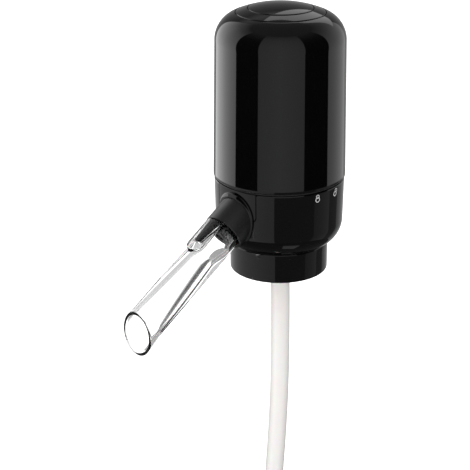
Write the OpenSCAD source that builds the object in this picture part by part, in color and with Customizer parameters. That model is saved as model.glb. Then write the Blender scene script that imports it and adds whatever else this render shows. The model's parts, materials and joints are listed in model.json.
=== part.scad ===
// Electric wine aerator: a battery pump that sits on a bottle, lifts the wine through a dip hose
// and pours it through a clear spout. Millimetres, +Z up, spout towards -Y.
// The origin is on the body axis, at the mouth of the bottle collar.

/* [Upper casing] */
// Outside diameter of the upper casing at its rim
body_d = 60; // [56:0.5:68]
// Height of the upper casing's rim above the collar mouth
rim_z = 45.3; // [44:0.1:50]
// Wall of the upper casing
casing_wall = 1.8; // [1.4:0.1:2.4]
// Draft of the upper casing's side, in degrees
casing_draft = 0.84; // [0:0.02:1.5]
// Radius of the shoulder between side and crown
shoulder_r = 12.75; // [9:0.25:14]
// Radius of the domed crown
crown_r = 54.8; // [46:0.2:90]
// Rounding of the rim's outer edge
rim_round = 0.5; // [0.3:0.1:1.6]

/* [Lower casing] */
// Shadow gap between the two casings
seam_gap = 0.8; // [0.5:0.1:1.6]
// How far the lower casing steps in at the seam
seam_step = 0.4; // [0.2:0.1:1.2]
// Taper of the lower casing's side, in degrees
lower_taper = 1.18; // [0:0.02:3]
// Radius of the round at the bottom of the lower casing
bowl_round = 12.2; // [10:0.2:13.4]
// Height at which the bottom round starts
round_z = 24.6; // [23.6:0.1:27]
// Wall of the lower casing
lower_wall = 2; // [1.6:0.1:2.4]
// Floor of the lower casing
floor_t = 2.2; // [1.8:0.1:3]

/* [Twist lock] */
// Turn from the closed lock mark to the open one, in degrees
twist_angle = 22; // [15:1:40]
// Least height of the spigot that the upper casing slides over
spigot_h = 7; // [6.5:0.1:10]
// Wall of the spigot
spigot_wall = 2.2; // [2:0.1:3]
// Gap between spigot and upper casing
spigot_gap = 0.6; // [0.4:0.1:1]
// Angular width of each locking lug
lug_w = 12; // [8:1:20]
// Height of each locking lug
lug_h = 1.6; // [1.2:0.1:2.4]
// Reach of each locking lug into the spigot
lug_depth = 0.9; // [0.6:0.1:1]
// Height of the lock marks
mark_h = 3.6; // [2.5:0.1:5]
// Distance of the lock marks' middle below the seam
mark_drop = 2.6; // [2.4:0.1:5]

/* [Bottle collar] */
// Outside diameter of the collar
collar_d = 45.1; // [43:0.1:48]
// Bore that takes the bottle's mouth
bottle_d = 31.5; // [29:0.1:34]
// Rounding of the collar's lower edge
collar_round = 0.5; // [0.2:0.1:1.5]
// Thickness of the bottle seal
seal_t = 3; // [2:0.1:4]
// Hole in the bottle seal
seal_d = 19; // [18.4:0.1:22]

/* [Spout hub] */
// Outside diameter of the hub
hub_d = 19.2; // [18:0.1:19.8]
// Distance of the hub mouth's centre in front of the body axis
hub_reach = 36; // [34.8:0.1:37]
// Height of the hub mouth's centre
hub_z = 26.2; // [25.5:0.1:28]
// Slope of the spout below the horizontal, in degrees
spout_slope = 30.7; // [28:0.1:34]
// Length of the hub from its mouth to its back face
hub_l = 16.5; // [15.5:0.1:16.7]
// Depth of the hub's bore
hub_bore = 10; // [9.8:0.1:12]
// Width of the bead round the hub's base
bead_w = 0.7; // [0.5:0.1:1.5]
// Height of the bead's outline for each unit of its width
bead_stretch = 1.12; // [1:0.01:1.2]
// Height of the bead round the hub's base
bead_t = 1; // [0.5:0.1:1.5]
// Thickness of the saddle panel
saddle_t = 1; // [0.6:0.1:1.2]
// Half of the saddle panel's angle, in degrees
saddle_half = 23; // [21:0.5:28]
// Height of the saddle panel's lower edge above the hub's axis
saddle_lift = 1.3; // [0:0.1:3]

/* [Clear spout] */
// Outside diameter of the spout's tube
spout_d = 16.4; // [15:0.1:16.6]
// Distance of the mouth's plane in front of the body axis
spout_reach = 88.4; // [80:0.1:96]
// Bore at the mouth
mouth_d = 14.8; // [12:0.1:15.4]
// Wall at the mouth
mouth_wall = 1.3; // [0.8:0.1:1.5]
// Bore at the neck
neck_d = 8.2; // [6:0.1:9.4]
// Bore behind the neck
throat_d = 9.8; // [9.6:0.1:11]
// Length of the root inside the hub
root_l = 9.5; // [8:0.1:9.6]
// Half width of the ridge over the air tongue
ridge_half = 4.6; // [4.4:0.1:5.4]
// Length of the ridge in front of the hub
ridge_l = 19; // [17:0.1:24]
// Wall of the ridge over the tongue's pocket
ridge_wall = 0.6; // [0.5:0.1:1.2]

/* [Nozzle and air tongue] */
// Outside diameter of the nozzle inside the spout
nozzle_d = 10.4; // [9:0.1:10.4]
// Length of the nozzle in front of the hub
nozzle_out = 3.6; // [2:0.1:4.5]
// Width of the tongue at the hub
tongue_w = 7; // [4.4:0.1:7.2]
// Width of the tongue at its tip
tongue_tip_w = 4; // [2.4:0.1:4.6]
// Length of the tongue in front of the hub
tongue_l = 13.4; // [8:0.1:14]
// Height of the tongue's flat underside above the spout's axis
tongue_low = 7.4; // [7.1:0.1:7.7]
// Section of the nozzle's O-ring
o_ring_t = 1.5; // [1:0.1:1.6]

/* [Hose] */
// Outside diameter of the dip hose
hose_d = 9; // [7.8:0.1:9.2]
// Diameter of the barb inside the hose
barb_d = 6.4; // [5.6:0.1:6.8]
// Outside diameter of the wine elbow
elbow_d = 6; // [5:0.1:6.2]
// Bend radius of the wine elbow
elbow_bend = 8; // [7:0.1:9]

/* [Pump and motor] */
// Distance of the pump's axis behind the body axis
pump_y = 14; // [13.8:0.1:15]
// Diameter of the pump
pump_d = 21; // [20:0.1:21]
// Height of the valve head
head_h = 5; // [4:0.1:7]
// Thickness of the diaphragm's rim
diaphragm_t = 1.5; // [1:0.1:2.5]
// Height of the diaphragm's cups
cup_h = 2.8; // [2:0.1:4]
// Thickness of the wobble plate
wobble_t = 1.4; // [1:0.1:2]
// Height of the crank
crank_h = 3; // [2.8:0.1:5]
// Diameter of the motor
motor_d = 20.4; // [18:0.1:21]
// Height of the motor's can
motor_h = 12; // [11:0.1:16]
// Diameter of the motor's shaft
shaft_d = 2; // [1.5:0.1:2.4]

/* [Batteries] */
// Diameter of a cell
cell_d = 10.5; // [10:0.1:10.8]
// Length of a cell
cell_l = 44.5; // [42:0.1:50.5]
// Height of a pressed cell spring
cell_spring_h = 2.4; // [2:0.1:5]
// Distance between the middles of neighbouring cells
cell_pitch = 12.4; // [12.2:0.1:13]

/* [Button] */
// Diameter of the button
button_d = 28.6; // [26:0.1:30.4]
// Width of the ring round the button
ring_w = 5.1; // [4.5:0.05:5.4]
// Width of the grooves beside the ring
groove_w = 0.3; // [0.3:0.05:0.6]
// Travel of the button
press_travel = 1.2; // [0.5:0.1:1.4]
// Height of the crown above the button's guide plate
crown_depth = 8.8; // [8.4:0.1:12]
// Thickness of the button's cap
button_t = 2.4; // [2.2:0.1:3]

/* [Screws and clearances] */
// Diameter of the screws
screw_d = 2.2; // [1.8:0.1:2.4]
// Gap round a piece that is fixed in place
fit_gap = 0.1; // [0.05:0.01:0.15]
// Gap round a piece that moves
run_gap = 0.3; // [0.25:0.05:0.4]

/* [Hidden] */
$fn = 64;
// Small overlap that lets cuts pass through a face
over = 1;

// Radii that follow from the diameters
body_r = body_d / 2;
collar_r = collar_d / 2;
bottle_r = bottle_d / 2;
hub_r = hub_d / 2;
spout_r = spout_d / 2;
nozzle_r = nozzle_d / 2;
elbow_r = elbow_d / 2;
hose_r = hose_d / 2;
barb_r = barb_d / 2;
pump_r = pump_d / 2;
motor_r = motor_d / 2;
shaft_r = shaft_d / 2;
button_r = button_d / 2;
ring_d = button_d + 2 * (groove_w + ring_w);
ring_r = ring_d / 2;
screw_r = screw_d / 2;
screw_head_r = screw_r + 0.9;
screw_head_h = 1.4;

// Lower casing: its side, its bottom round and the flat that the collar seats on
shoulder_z = rim_z - seam_gap;
lower_r = body_r - seam_step;
function lower_side(z) = lower_r - (shoulder_z - z) * tan(lower_taper);
round_c = lower_side(round_z) - bowl_round / cos(lower_taper);
seat_z = round_z - sqrt(pow(bowl_round, 2) - pow(collar_r - round_c, 2));
floor_z = seat_z + floor_t;
core_round = bowl_round - lower_wall;
function core_r(z) = round_c + sqrt(pow(core_round, 2) - pow(round_z - z, 2));

// Stack of levels from the floor up to the crown
bracket_z = floor_z + 2.2;
bracket_t = 1.5;
bracket_r = core_r(bracket_z) - 0.5;
head_z = bracket_z + bracket_t;
diaphragm_z = head_z + head_h;
cover_z = diaphragm_z + diaphragm_t;
wobble_z = cover_z + cup_h;
crank_z = wobble_z + wobble_t + 0.6;
cover_top_t = 1.4;
can_z = crank_z + crank_h + 0.6 + cover_top_t;
cap_z = can_z + motor_h;
cap_t = 1.6;
lead_room = 1.96;
bulkhead_z = max(cap_z + cap_t + lead_room, shoulder_z + spigot_h);
bulkhead_t = 2;
base_z = bulkhead_z + bulkhead_t;
plate_t = 2;
contact_t = 0.5;
cell_z = base_z + plate_t + contact_t + cell_spring_h;
top_plate_z = cell_z + cell_l + contact_t;
standoff_h = 1;
board_z = top_plate_z + plate_t + standoff_h;
board_t = 1.2;
switch_z = board_z + board_t;
switch_h = 3.5;
switch_w = 6;
switch_top = switch_z + switch_h;
plunger_top = switch_top + press_travel + run_gap;
guide_t = 1.6;
guide_z = plunger_top + run_gap + guide_t;
body_h = guide_z + crown_depth;

// Upper casing: the crown arc, the shoulder arc and the drafted side, each tangent to the next
crown_c = [0, body_h - crown_r];
side_n = [cos(casing_draft), sin(casing_draft)];
side_t = [-sin(casing_draft), cos(casing_draft)];
side_k = body_r * side_n[0] + rim_z * side_n[1];
shoulder_v = side_n * (side_k - shoulder_r) - crown_c;
shoulder_b = shoulder_v * side_t;
shoulder_q = shoulder_v * shoulder_v - pow(crown_r - shoulder_r, 2);
shoulder_c = crown_c + shoulder_v + side_t * (sqrt(pow(shoulder_b, 2) - shoulder_q) - shoulder_b);
crown_a = atan2(shoulder_c[1] - crown_c[1], shoulder_c[0] - crown_c[0]);
function crown_top(r) = crown_c[1] + sqrt(pow(crown_r, 2) - r * r);
function side_r(z) = (side_k - z * side_n[1]) / side_n[0];
function shoulder_in(z) =
  shoulder_c[0] + sqrt(pow(shoulder_r - casing_wall, 2) - pow(z - shoulder_c[1], 2));
function shoulder_top(r) = shoulder_c[1] + sqrt(pow(shoulder_r, 2) - pow(r - shoulder_c[0], 2));

// Twist lock
spigot_r = side_r(rim_z) - casing_wall - spigot_gap;
spigot_in = spigot_r - spigot_wall;
shelf_t = 1.6;
lug_z = rim_z + 1.3;
lock_count = 3;
lock_a = 60;
lug_play = 0.8;
saddle_play = 0.25;
mark_a = -12;
mark_z = shoulder_z - mark_drop;
mark_t = 0.12;

// Bosses that carry the bulkhead
boss_r = 2.6;
boss_screw_l = 6;
boss_ring = spigot_in - boss_r + 0.4;
boss_angles = [40, 140, 235, 305];
boss_places = [for (a = boss_angles) [boss_ring * cos(a), boss_ring * sin(a)]];
bracket_boss_r = 2.8;
bracket_places = [[19, 5], [-19, 5], [17, -5], [-17, -5]];
bracket_front = -8;
collar_ring = (bottle_r + collar_r) / 2;
collar_places = [for (a = [50, 130, 270]) [collar_ring * cos(a), collar_ring * sin(a)]];
collar_screw_l = 8;

// Spout line: t runs along the spout from the hub's mouth, and the height is measured square to it
hub_wall_z = hub_z + (hub_reach - lower_side(hub_z)) * tan(spout_slope);
saddle_z = hub_wall_z + saddle_lift;
bore_r = spout_r + run_gap;
socket_r = nozzle_r + o_ring_t / 2 + 0.02;
socket_end = nozzle_out + 1;
throat_t = socket_end + 3;
neck_t = 16.5;
spout_end = (spout_reach - hub_reach + spout_r * sin(spout_slope)) / cos(spout_slope) + 4;
mouth_t = (spout_reach - hub_reach) / cos(spout_slope);
tongue_r = hub_r - 0.6;
pocket_r = tongue_r + run_gap;
ridge_r = pocket_r + ridge_wall;
o_ring_at = -5;
nozzle_bore = 2;
nipple_r = elbow_r - 0.85;
nipple_l = 5.6;
flange_t = 1.4;

// Wine elbow: straight up from the barb, round the bend, and down the spout line to the nozzle
elbow_turn = 90 + spout_slope;
elbow_y = elbow_bend * (1 - cos(elbow_turn));
elbow_meet_z = hub_z + (hub_reach - elbow_y) * tan(spout_slope);
elbow_z = elbow_meet_z - elbow_bend * sin(elbow_turn);
elbow_run = (hub_reach - elbow_y) / cos(spout_slope) - hub_l - flange_t;
barb_flange_r = 4.6;
barb_flange_t = 1.5;
barb_stem_r = 3.4;
barb_tip_z = 2;
hose_top_z = seat_z - 1.2;
port_y = 7.2;
port_r = 2.3;
port_stem_r = 1.5;
port_h = 2;
port_socket_r = 1.4;
outlet_r = 1.1;

// Button stack, measured from the guide plate
flange_z = guide_z + press_travel + run_gap;
button_flange_t = 0.7;
button_flange_r = button_r + 2.2;
ledge_z = flange_z + button_flange_t + run_gap;
ring_in = button_r + groove_w;
hole_r = ring_r + groove_w;
skirt_r = button_r - 1.6;
cap_under = body_h - button_t;
stem_r = 2.6;
plunger_r = 1.7;
plunger_in = 0.9;
guide_play = 0.6;
guide_r = shoulder_in(guide_z) - guide_play;
guide_edge = 0.2;
guide_screw_r = min(screw_r / 2, (guide_r - hole_r) / 2 - fit_gap - guide_edge);
guide_screw_ring = (hole_r + guide_r) / 2;
guide_hole_l = shoulder_top(guide_screw_ring + guide_screw_r + fit_gap) - guide_z - casing_wall / 2;
spring_wire = 0.7;
button_spring_r = 4.4;

// Pump and motor
pump_screw_places = [[6.5, pump_y + 2], [-6.5, pump_y + 2]];
motor_screw_places = [[6, pump_y], [-6, pump_y]];
cup_ring = pump_r / 2;
rotor_r = motor_r - 2.9;
bush_r = shaft_r + 1.4;
can_wall = 0.8;

// Batteries
cell_half = cell_pitch / 2;
cell_places = [for (x = [-1, 1], y = [-1, 1]) [x * cell_half, y * cell_half]];
cell_nub_h = 1;
holder_r = cell_half * sqrt(2) + cell_d / 2 + 2.4;
post_r = 1.7;
post_y = cell_half + cell_d / 2 + 0.05;
holder_screw_x = holder_r - 2;
board_r = holder_r - 1.4;
lead_r = 0.6;
lead_hole_r = lead_r + 0.9;
lead_x = 12.8;
lead_y = 4.7;
lead_from = 5;
lead_bow = 8;
lead_run = 3.5;
lead_turn = 1.4;
lead_rise = 4;

// Route of the dip hose, from the barb down into the bottle
hose_route = [
  [0, 0, hose_top_z], [0.3, 0.3, 0], [0.7, 0.6, -14], [0.8, 0.7, -32], [0.8, 0.7, -50], [0.6, 0.5, -68],
  [0.1, 0.1, -86], [-0.6, -0.5, -104], [-1.4, -1.3, -122], [-2.4, -2.3, -140], [-3.7, -3.4, -158],
  [-5.1, -4.8, -176], [-6.7, -6.3, -194], [-8.5, -8, -212], [-10.1, -9.5, -226]
];

// Unit vector, and the direction of a path at its point i
function unit(v) = v / norm(v);
function path_dir(p, i) = unit(p[min(i + 1, len(p) - 1)] - p[max(i - 1, 0)]);

// Rings of points round a path, each square to the path
function sweep_points(path, r, n, side) = [
  for (i = [0 : len(path) - 1])
    let (t = path_dir(path, i), u = unit(cross(side, t)), v = cross(t, u))
      for (j = [0 : n - 1]) path[i] + r * (cos(360 * j / n) * u + sin(360 * j / n) * v)
];

// Triangles of a swept tube of m rings with n sides, closed at both ends
function sweep_faces(m, n) = concat(
  [for (j = [1 : n - 2]) [0, j, j + 1]],
  [for (i = [0 : m - 2], j = [0 : n - 1])
    let (a = i * n + j, b = i * n + (j + 1) % n) [a, b + n, b]],
  [for (i = [0 : m - 2], j = [0 : n - 1])
    let (a = i * n + j, b = i * n + (j + 1) % n) [a, a + n, b + n]],
  [for (j = [1 : n - 2]) let (e = (m - 1) * n) [e, e + j + 1, e + j]]
);

// A tube swept along a path, with a side vector that is never along it
module swept(path, r, n, side) {
  polyhedron(sweep_points(path, r, n, side), sweep_faces(len(path), n), convexity = 10);
}

// Middle line of a coil spring between two heights
function coil(r, z0, z1, turns, steps = 10) =
  [for (i = [0 : turns * steps]) [r * cos(360 * i / steps), r * sin(360 * i / steps),
    z0 + (z1 - z0) * i / (turns * steps)]];

module revolve(points) { rotate_extrude($fn = 128) polygon(points); }

module tube(r_out, r_in, h) {
  difference() {
    cylinder(r = r_out, h = h);
    translate([0, 0, -over]) cylinder(r = r_in, h = h + 2 * over);
  }
}

// Children at each place of a list
module at(places, z = 0) {
  for (p = places) translate([p[0], p[1], z]) children();
}

// A pan-head screw whose head sits on z = 0 and whose shank points down
module screw(l, r = screw_r, head_r = screw_head_r, head_h = screw_head_h) {
  cylinder(r = head_r, h = head_h);
  translate([0, 0, -l]) cylinder(r = r, h = l + head_h / 2);
}

// Local frame of the spout: z along it, y square to it and upwards
module spout_frame() {
  translate([0, -hub_reach, hub_z]) rotate([90 + spout_slope, 0, 0]) children();
}

// A sector of the body in front of the axis, between two heights
module front_sector(half, z0, z1) {
  translate([0, 0, z0]) rotate([0, 0, -90 - half])
    rotate_extrude(angle = 2 * half, $fn = 128)
      translate([spigot_in / 2, 0]) square([body_r, z1 - z0]);
}

// Half section of the lower casing's outside, pushed out by g and taller by top
module bowl_shape(g = 0, top = 0) {
  r = bowl_round + g;
  seat_r = round_c + sqrt(pow(r, 2) - pow(round_z - seat_z, 2));
  polygon([[0, seat_z], [seat_r, seat_z], [round_c, round_z],
    [round_c + r * cos(lower_taper), round_z - r * sin(lower_taper)],
    [lower_r + g, shoulder_z], [lower_r + g, shoulder_z + top], [0, shoulder_z + top]]);
  intersection() {
    translate([round_c, round_z]) circle(r = r, $fn = 96);
    translate([0, seat_z]) square([body_d, body_d]);
  }
}

// Half section of the room inside the lower casing, passing through its top
module room_shape() {
  top_r = lower_r - lower_wall;
  polygon([[0, floor_z], [core_r(floor_z), floor_z], [round_c, round_z],
    [round_c + core_round * cos(lower_taper), round_z - core_round * sin(lower_taper)],
    [top_r, shoulder_z], [top_r, shoulder_z + over], [0, shoulder_z + over]]);
  intersection() {
    translate([round_c, round_z]) circle(r = core_round, $fn = 96);
    translate([0, floor_z]) square([body_d, body_d]);
  }
}

module spin() { rotate_extrude($fn = 128) children(); }

module bowl_solid(g = 0, top = 0) { spin() bowl_shape(g, top); }

module bowl_hollow() { spin() room_shape(); }

// Half section of the crown: everything inside the crown's circle above height z, drawn in by w
module crown_shape(w, z) {
  intersection() {
    translate(crown_c) circle(r = crown_r - w, $fn = 360);
    translate([0, z]) square([body_d, body_d]);
  }
}

// Half section of the upper casing, drawn in by w, on a foot given by its points
module casing_shape(w, foot) {
  arc_r = shoulder_r - w;
  side_end = shoulder_c + arc_r * side_n;
  join = crown_c + (crown_r - w) * [cos(crown_a), sin(crown_a)];
  polygon(concat(foot, [side_end, shoulder_c, join, [0, join[1]]]));
  translate(shoulder_c) circle(r = arc_r, $fn = 128);
  crown_shape(w, join[1]);
}

// Sector of a locking lug from angle 0, widened by an angle play on both sides and by a turn
module lock_sector(r0, r1, z0, z1, play = 0, turn = 0) {
  translate([0, 0, z0]) rotate([0, 0, -lug_w / 2 - play])
    rotate_extrude(angle = lug_w + 2 * play + turn, $fn = 128)
      translate([r0, 0]) square([r1 - r0, z1 - z0]);
}

module each_lock() {
  for (i = [0 : lock_count - 1]) rotate([0, 0, lock_a + i * 360 / lock_count]) children();
}

module upper_casing() {
  rim_c = [side_r(rim_z + rim_round) - rim_round, rim_z + rim_round];
  inner_rim = side_r(rim_z) - casing_wall;
  guide_places = [for (a = [30, 150, 270]) [guide_screw_ring * cos(a), guide_screw_ring * sin(a)]];
  color("#141414") difference() {
    union() {
      difference() {
        spin() {
          casing_shape(0, [[0, rim_z], [rim_c[0], rim_z], rim_c, rim_c + [rim_round, 0]]);
          translate(rim_c) circle(r = rim_round);
        }
        spin()
          casing_shape(casing_wall, [[0, rim_z - over], [inner_rim, rim_z - over], [inner_rim, rim_z]]);
      }
      intersection() {
        spin() casing_shape(casing_wall / 2, [[0, rim_z], [side_r(rim_z) - casing_wall / 2, rim_z]]);
        translate([0, 0, guide_z]) tube(guide_r, hole_r, crown_depth);
      }
      each_lock() lock_sector(spigot_r - lug_depth, inner_rim + casing_wall / 2, lug_z, lug_z + lug_h);
    }
    translate([0, 0, guide_z - over]) cylinder(r = hole_r, h = crown_depth + 2 * over);
    at(guide_places, guide_z - over) cylinder(r = guide_screw_r + fit_gap, h = guide_hole_l + over);
  }
}

module button_ring() {
  inner = button_flange_r + run_gap;
  color("#141414") spin() intersection() {
    polygon([[ring_in, ledge_z], [inner, ledge_z], [inner, guide_z], [ring_r, guide_z],
      [ring_r, body_h + over], [ring_in, body_h + over]]);
    crown_shape(0, guide_z);
  }
}

module power_button() {
  flange_top = flange_z + button_flange_t;
  color("#1a1a1a") {
    spin() intersection() {
      polygon([[0, cap_under], [skirt_r, cap_under], [skirt_r, flange_z], [button_flange_r, flange_z],
        [button_flange_r, flange_top], [button_r, flange_top], [button_r, body_h + over],
        [0, body_h + over]]);
      crown_shape(0, guide_z);
    }
    translate([0, 0, plunger_top]) cylinder(r = stem_r, h = cap_under - plunger_top + button_t / 2);
  }
}

module button_guide() {
  color("#202020") difference() {
    translate([0, 0, guide_z - guide_t]) cylinder(r = guide_r, h = guide_t);
    translate([0, 0, guide_z - guide_t - over]) cylinder(r = stem_r + run_gap, h = guide_t + 2 * over);
    for (a = [30, 150, 270]) rotate([0, 0, a]) translate([guide_screw_ring, 0, guide_z - guide_t - over])
      cylinder(r = guide_screw_r + fit_gap, h = guide_t + 2 * over);
  }
}

module button_spring() {
  color("silver") swept(
    coil(button_spring_r, guide_z + spring_wire / 2, cap_under - spring_wire / 2, 4),
    spring_wire / 2, 6, [0, 0, 1]);
}

module guide_screws() {
  color("silver") for (a = [30, 150, 270]) rotate([0, 0, a])
    translate([guide_screw_ring, 0, guide_z - guide_t]) mirror([0, 0, 1])
      screw(guide_t + guide_hole_l - run_gap, guide_screw_r, 2 * guide_screw_r);
}

module switch_plunger() {
  color("#b03020") translate([0, 0, switch_top - plunger_in])
    cylinder(r = plunger_r, h = plunger_top - switch_top + plunger_in);
}

module tact_switch() {
  well = plunger_in + press_travel + run_gap;
  color("#303030") difference() {
    translate([-switch_w / 2, -switch_w / 2, switch_z]) cube([switch_w, switch_w, switch_h]);
    translate([0, 0, switch_top - well]) cylinder(r = plunger_r + run_gap, h = well + over);
  }
}

module switch_board() {
  color("#1d5a2a") difference() {
    translate([0, 0, board_z]) cylinder(r = board_r, h = board_t);
    at([[0, post_y], [0, -post_y]], board_z - over)
      cylinder(r = screw_r / 2 + fit_gap, h = board_t + 2 * over);
  }
}

module board_screws() {
  color("silver") at([[0, post_y], [0, -post_y]], switch_z)
    screw(board_t + standoff_h, screw_r / 2, screw_r, screw_head_h / 2);
}

module battery_holder() {
  wall = cell_pitch - cell_d - 2 * run_gap;
  color("#2a2a2a") difference() {
    union() {
      translate([0, 0, base_z]) cylinder(r = holder_r, h = plate_t);
      translate([0, 0, top_plate_z]) cylinder(r = holder_r, h = plate_t);
      for (a = [0, 90]) rotate([0, 0, a])
        translate([-cell_half, -wall / 2, base_z]) cube([cell_pitch, wall, top_plate_z - base_z + plate_t]);
      at([[0, post_y], [0, -post_y]], base_z)
        cylinder(r = post_r, h = top_plate_z + plate_t + standoff_h - base_z);
    }
    at([[0, post_y], [0, -post_y]], top_plate_z)
      cylinder(r = screw_r / 2 + fit_gap, h = plate_t + standoff_h + over);
    at([[holder_screw_x, 0], [-holder_screw_x, 0]], base_z - over)
      cylinder(r = screw_r + fit_gap, h = plate_t + 2 * over);
    at([[lead_x, lead_y], [-lead_x, lead_y]], base_z - over)
      cylinder(r = lead_hole_r, h = top_plate_z + plate_t - base_z + 2 * over);
  }
}

module batteries() {
  color("#b8862b") at(cell_places, cell_z) {
    cylinder(r = cell_d / 2, h = cell_l - cell_nub_h);
    cylinder(r = cell_d / 6, h = cell_l);
  }
}

module battery_springs() {
  low = cell_z - cell_spring_h;
  color("silver") at(cell_places)
    swept(coil(cell_d / 3, low + spring_wire / 2, cell_z - spring_wire / 2, 2),
      spring_wire / 2, 6, [0, 0, 1]);
}

module battery_contacts() {
  w = cell_d * 0.8;
  color("silver") {
    at(cell_places, base_z + plate_t) translate([-w / 2, -w / 2, 0]) cube([w, w, contact_t]);
    at(cell_places, top_plate_z - contact_t) translate([-w / 2, -w / 2, 0]) cube([w, w, contact_t]);
  }
}

module holder_screws() {
  color("silver") at([[holder_screw_x, 0], [-holder_screw_x, 0]], base_z + plate_t)
    screw(plate_t + bulkhead_t, screw_r, screw_r + 0.3);
}

module bulkhead() {
  color("#202020") difference() {
    translate([0, 0, bulkhead_z]) cylinder(r = spigot_r - spigot_gap, h = bulkhead_t);
    at(boss_places, bulkhead_z - over) cylinder(r = screw_r + fit_gap, h = bulkhead_t + 2 * over);
    at([[holder_screw_x, 0], [-holder_screw_x, 0]], bulkhead_z - over)
      cylinder(r = screw_r + fit_gap, h = bulkhead_t + 2 * over);
    at([[lead_x, lead_y], [-lead_x, lead_y]], bulkhead_z - over)
      cylinder(r = lead_hole_r, h = bulkhead_t + 2 * over);
  }
}

module bulkhead_screws() {
  color("silver") at(boss_places, base_z) screw(bulkhead_t + boss_screw_l);
}

// Hole for the hub, from just behind its back face outwards
module hub_hole() {
  spout_frame() translate([0, 0, -hub_l - fit_gap]) cylinder(r = hub_r + fit_gap, h = hub_l + 2 * hub_r);
}

module lower_casing() {
  shelf_z = shoulder_z - shelf_t;
  inner_r = lower_side(shoulder_z) - lower_wall;
  slot_r = spigot_r - lug_depth - run_gap;
  mid_z = seat_z + floor_t / 2;
  color("#121212") difference() {
    union() {
      difference() {
        bowl_solid();
        bowl_hollow();
      }
      translate([0, 0, shelf_z]) tube(inner_r + lower_wall / 2, spigot_in, shelf_t);
      translate([0, 0, shelf_z]) tube(spigot_r, spigot_in, bulkhead_z - shelf_z);
      intersection() {
        bowl_solid(-lower_wall / 2, bulkhead_z - shoulder_z);
        at(boss_places, mid_z) cylinder(r = boss_r, h = bulkhead_z - mid_z);
      }
      at(bracket_places, floor_z - floor_t / 2)
        cylinder(r = bracket_boss_r, h = bracket_z - floor_z + floor_t / 2);
    }
    at(boss_places, bulkhead_z - boss_screw_l - over)
      cylinder(r = screw_r + fit_gap, h = boss_screw_l + 2 * over);
    at(bracket_places, floor_z) cylinder(r = screw_r + fit_gap, h = bracket_z - floor_z + over);
    at(collar_places, seat_z - over) cylinder(r = screw_r + fit_gap, h = floor_t + 2 * over);
    translate([0, 0, seat_z - over]) cylinder(r = barb_stem_r + fit_gap, h = floor_t + 2 * over);
    translate([0, port_y, seat_z - over]) cylinder(r = port_stem_r + fit_gap, h = floor_t + 2 * over);
    each_lock()
      lock_sector(slot_r, spigot_r + over, lug_z - run_gap, lug_z + lug_h + run_gap, lug_play, twist_angle);
    each_lock() rotate([0, 0, twist_angle])
      lock_sector(slot_r - 0.05, spigot_r + 2 * over, lug_z, base_z, lug_play - 0.1);
    on_pump(shelf_z - over) cylinder(r = motor_r + run_gap, h = bulkhead_z - shelf_z + 2 * over);
    hub_hole();
    difference() {
      front_sector(saddle_half, saddle_z, shoulder_z + over);
      bowl_solid(-saddle_t, 2 * over);
    }
  }
}

module casing_gasket() {
  color("#3a3a3a") translate([0, 0, shoulder_z])
    tube(side_r(rim_z) - casing_wall + spigot_gap, spigot_r + fit_gap, seam_gap - run_gap);
}

// A padlock symbol of height 1: a round body with a round hole, under a shackle
module padlock(shift) {
  difference() {
    translate([0, -0.18]) circle(r = 0.32);
    translate([0, -0.18]) circle(r = 0.2);
  }
  translate([shift, 0.24]) difference() {
    circle(r = 0.24);
    circle(r = 0.14);
  }
}

module lock_marks() {
  color("#d8d8d8") intersection() {
    difference() {
      bowl_solid(mark_t);
      bowl_solid(fit_gap / 5);
    }
    for (i = [0, 1]) rotate([0, 0, mark_a + i * twist_angle]) translate([lower_r - 2, 0, mark_z])
      rotate([90, 0, 90]) linear_extrude(height = 4) scale(mark_h) padlock(i * 0.22);
  }
}

module spout_saddle() {
  color("#141414") difference() {
    intersection() {
      bowl_solid();
      front_sector(saddle_half - saddle_play, saddle_z + fit_gap, shoulder_z + over);
    }
    bowl_solid(fit_gap - saddle_t, over);
    hub_hole();
  }
}

module spout_hub() {
  color("#1c1c1c") difference() {
    union() {
      spout_frame() translate([0, 0, -hub_l]) cylinder(r = hub_r, h = hub_l);
      intersection() {
        difference() {
          bowl_solid(bead_t);
          bowl_solid(fit_gap / 2);
        }
        spout_frame() translate([0, 0, -hub_l]) scale([1, bead_stretch, 1])
          cylinder(r = hub_r + bead_w, h = hub_l + hub_r);
      }
    }
    spout_frame() {
      translate([0, 0, -hub_bore]) cylinder(r = bore_r, h = hub_bore + 2 * hub_r);
      translate([0, 0, -hub_l - over]) cylinder(r = nozzle_r + fit_gap, h = hub_l + over);
      tongue_shape(fit_gap, tongue_r + fit_gap);
    }
  }
}

// Wedge of the air tongue, grown by g and rounded to radius r about the spout line
module tongue_shape(g, r) {
  w = tongue_w / 2 + g;
  tip = tongue_tip_w / 2 + g;
  intersection() {
    translate([0, hub_r, 0]) rotate([90, 0, 0]) linear_extrude(height = hub_r - tongue_low + g)
      polygon([[-w, -hub_bore], [w, -hub_bore], [w, 0], [tip, tongue_l + g], [-tip, tongue_l + g],
        [-w, 0]]);
    translate([0, 0, -hub_l]) cylinder(r = r, h = hub_l + tongue_l + 2 * over);
  }
}

module air_tongue() { color("#161616") spout_frame() tongue_shape(0, tongue_r); }

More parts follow.
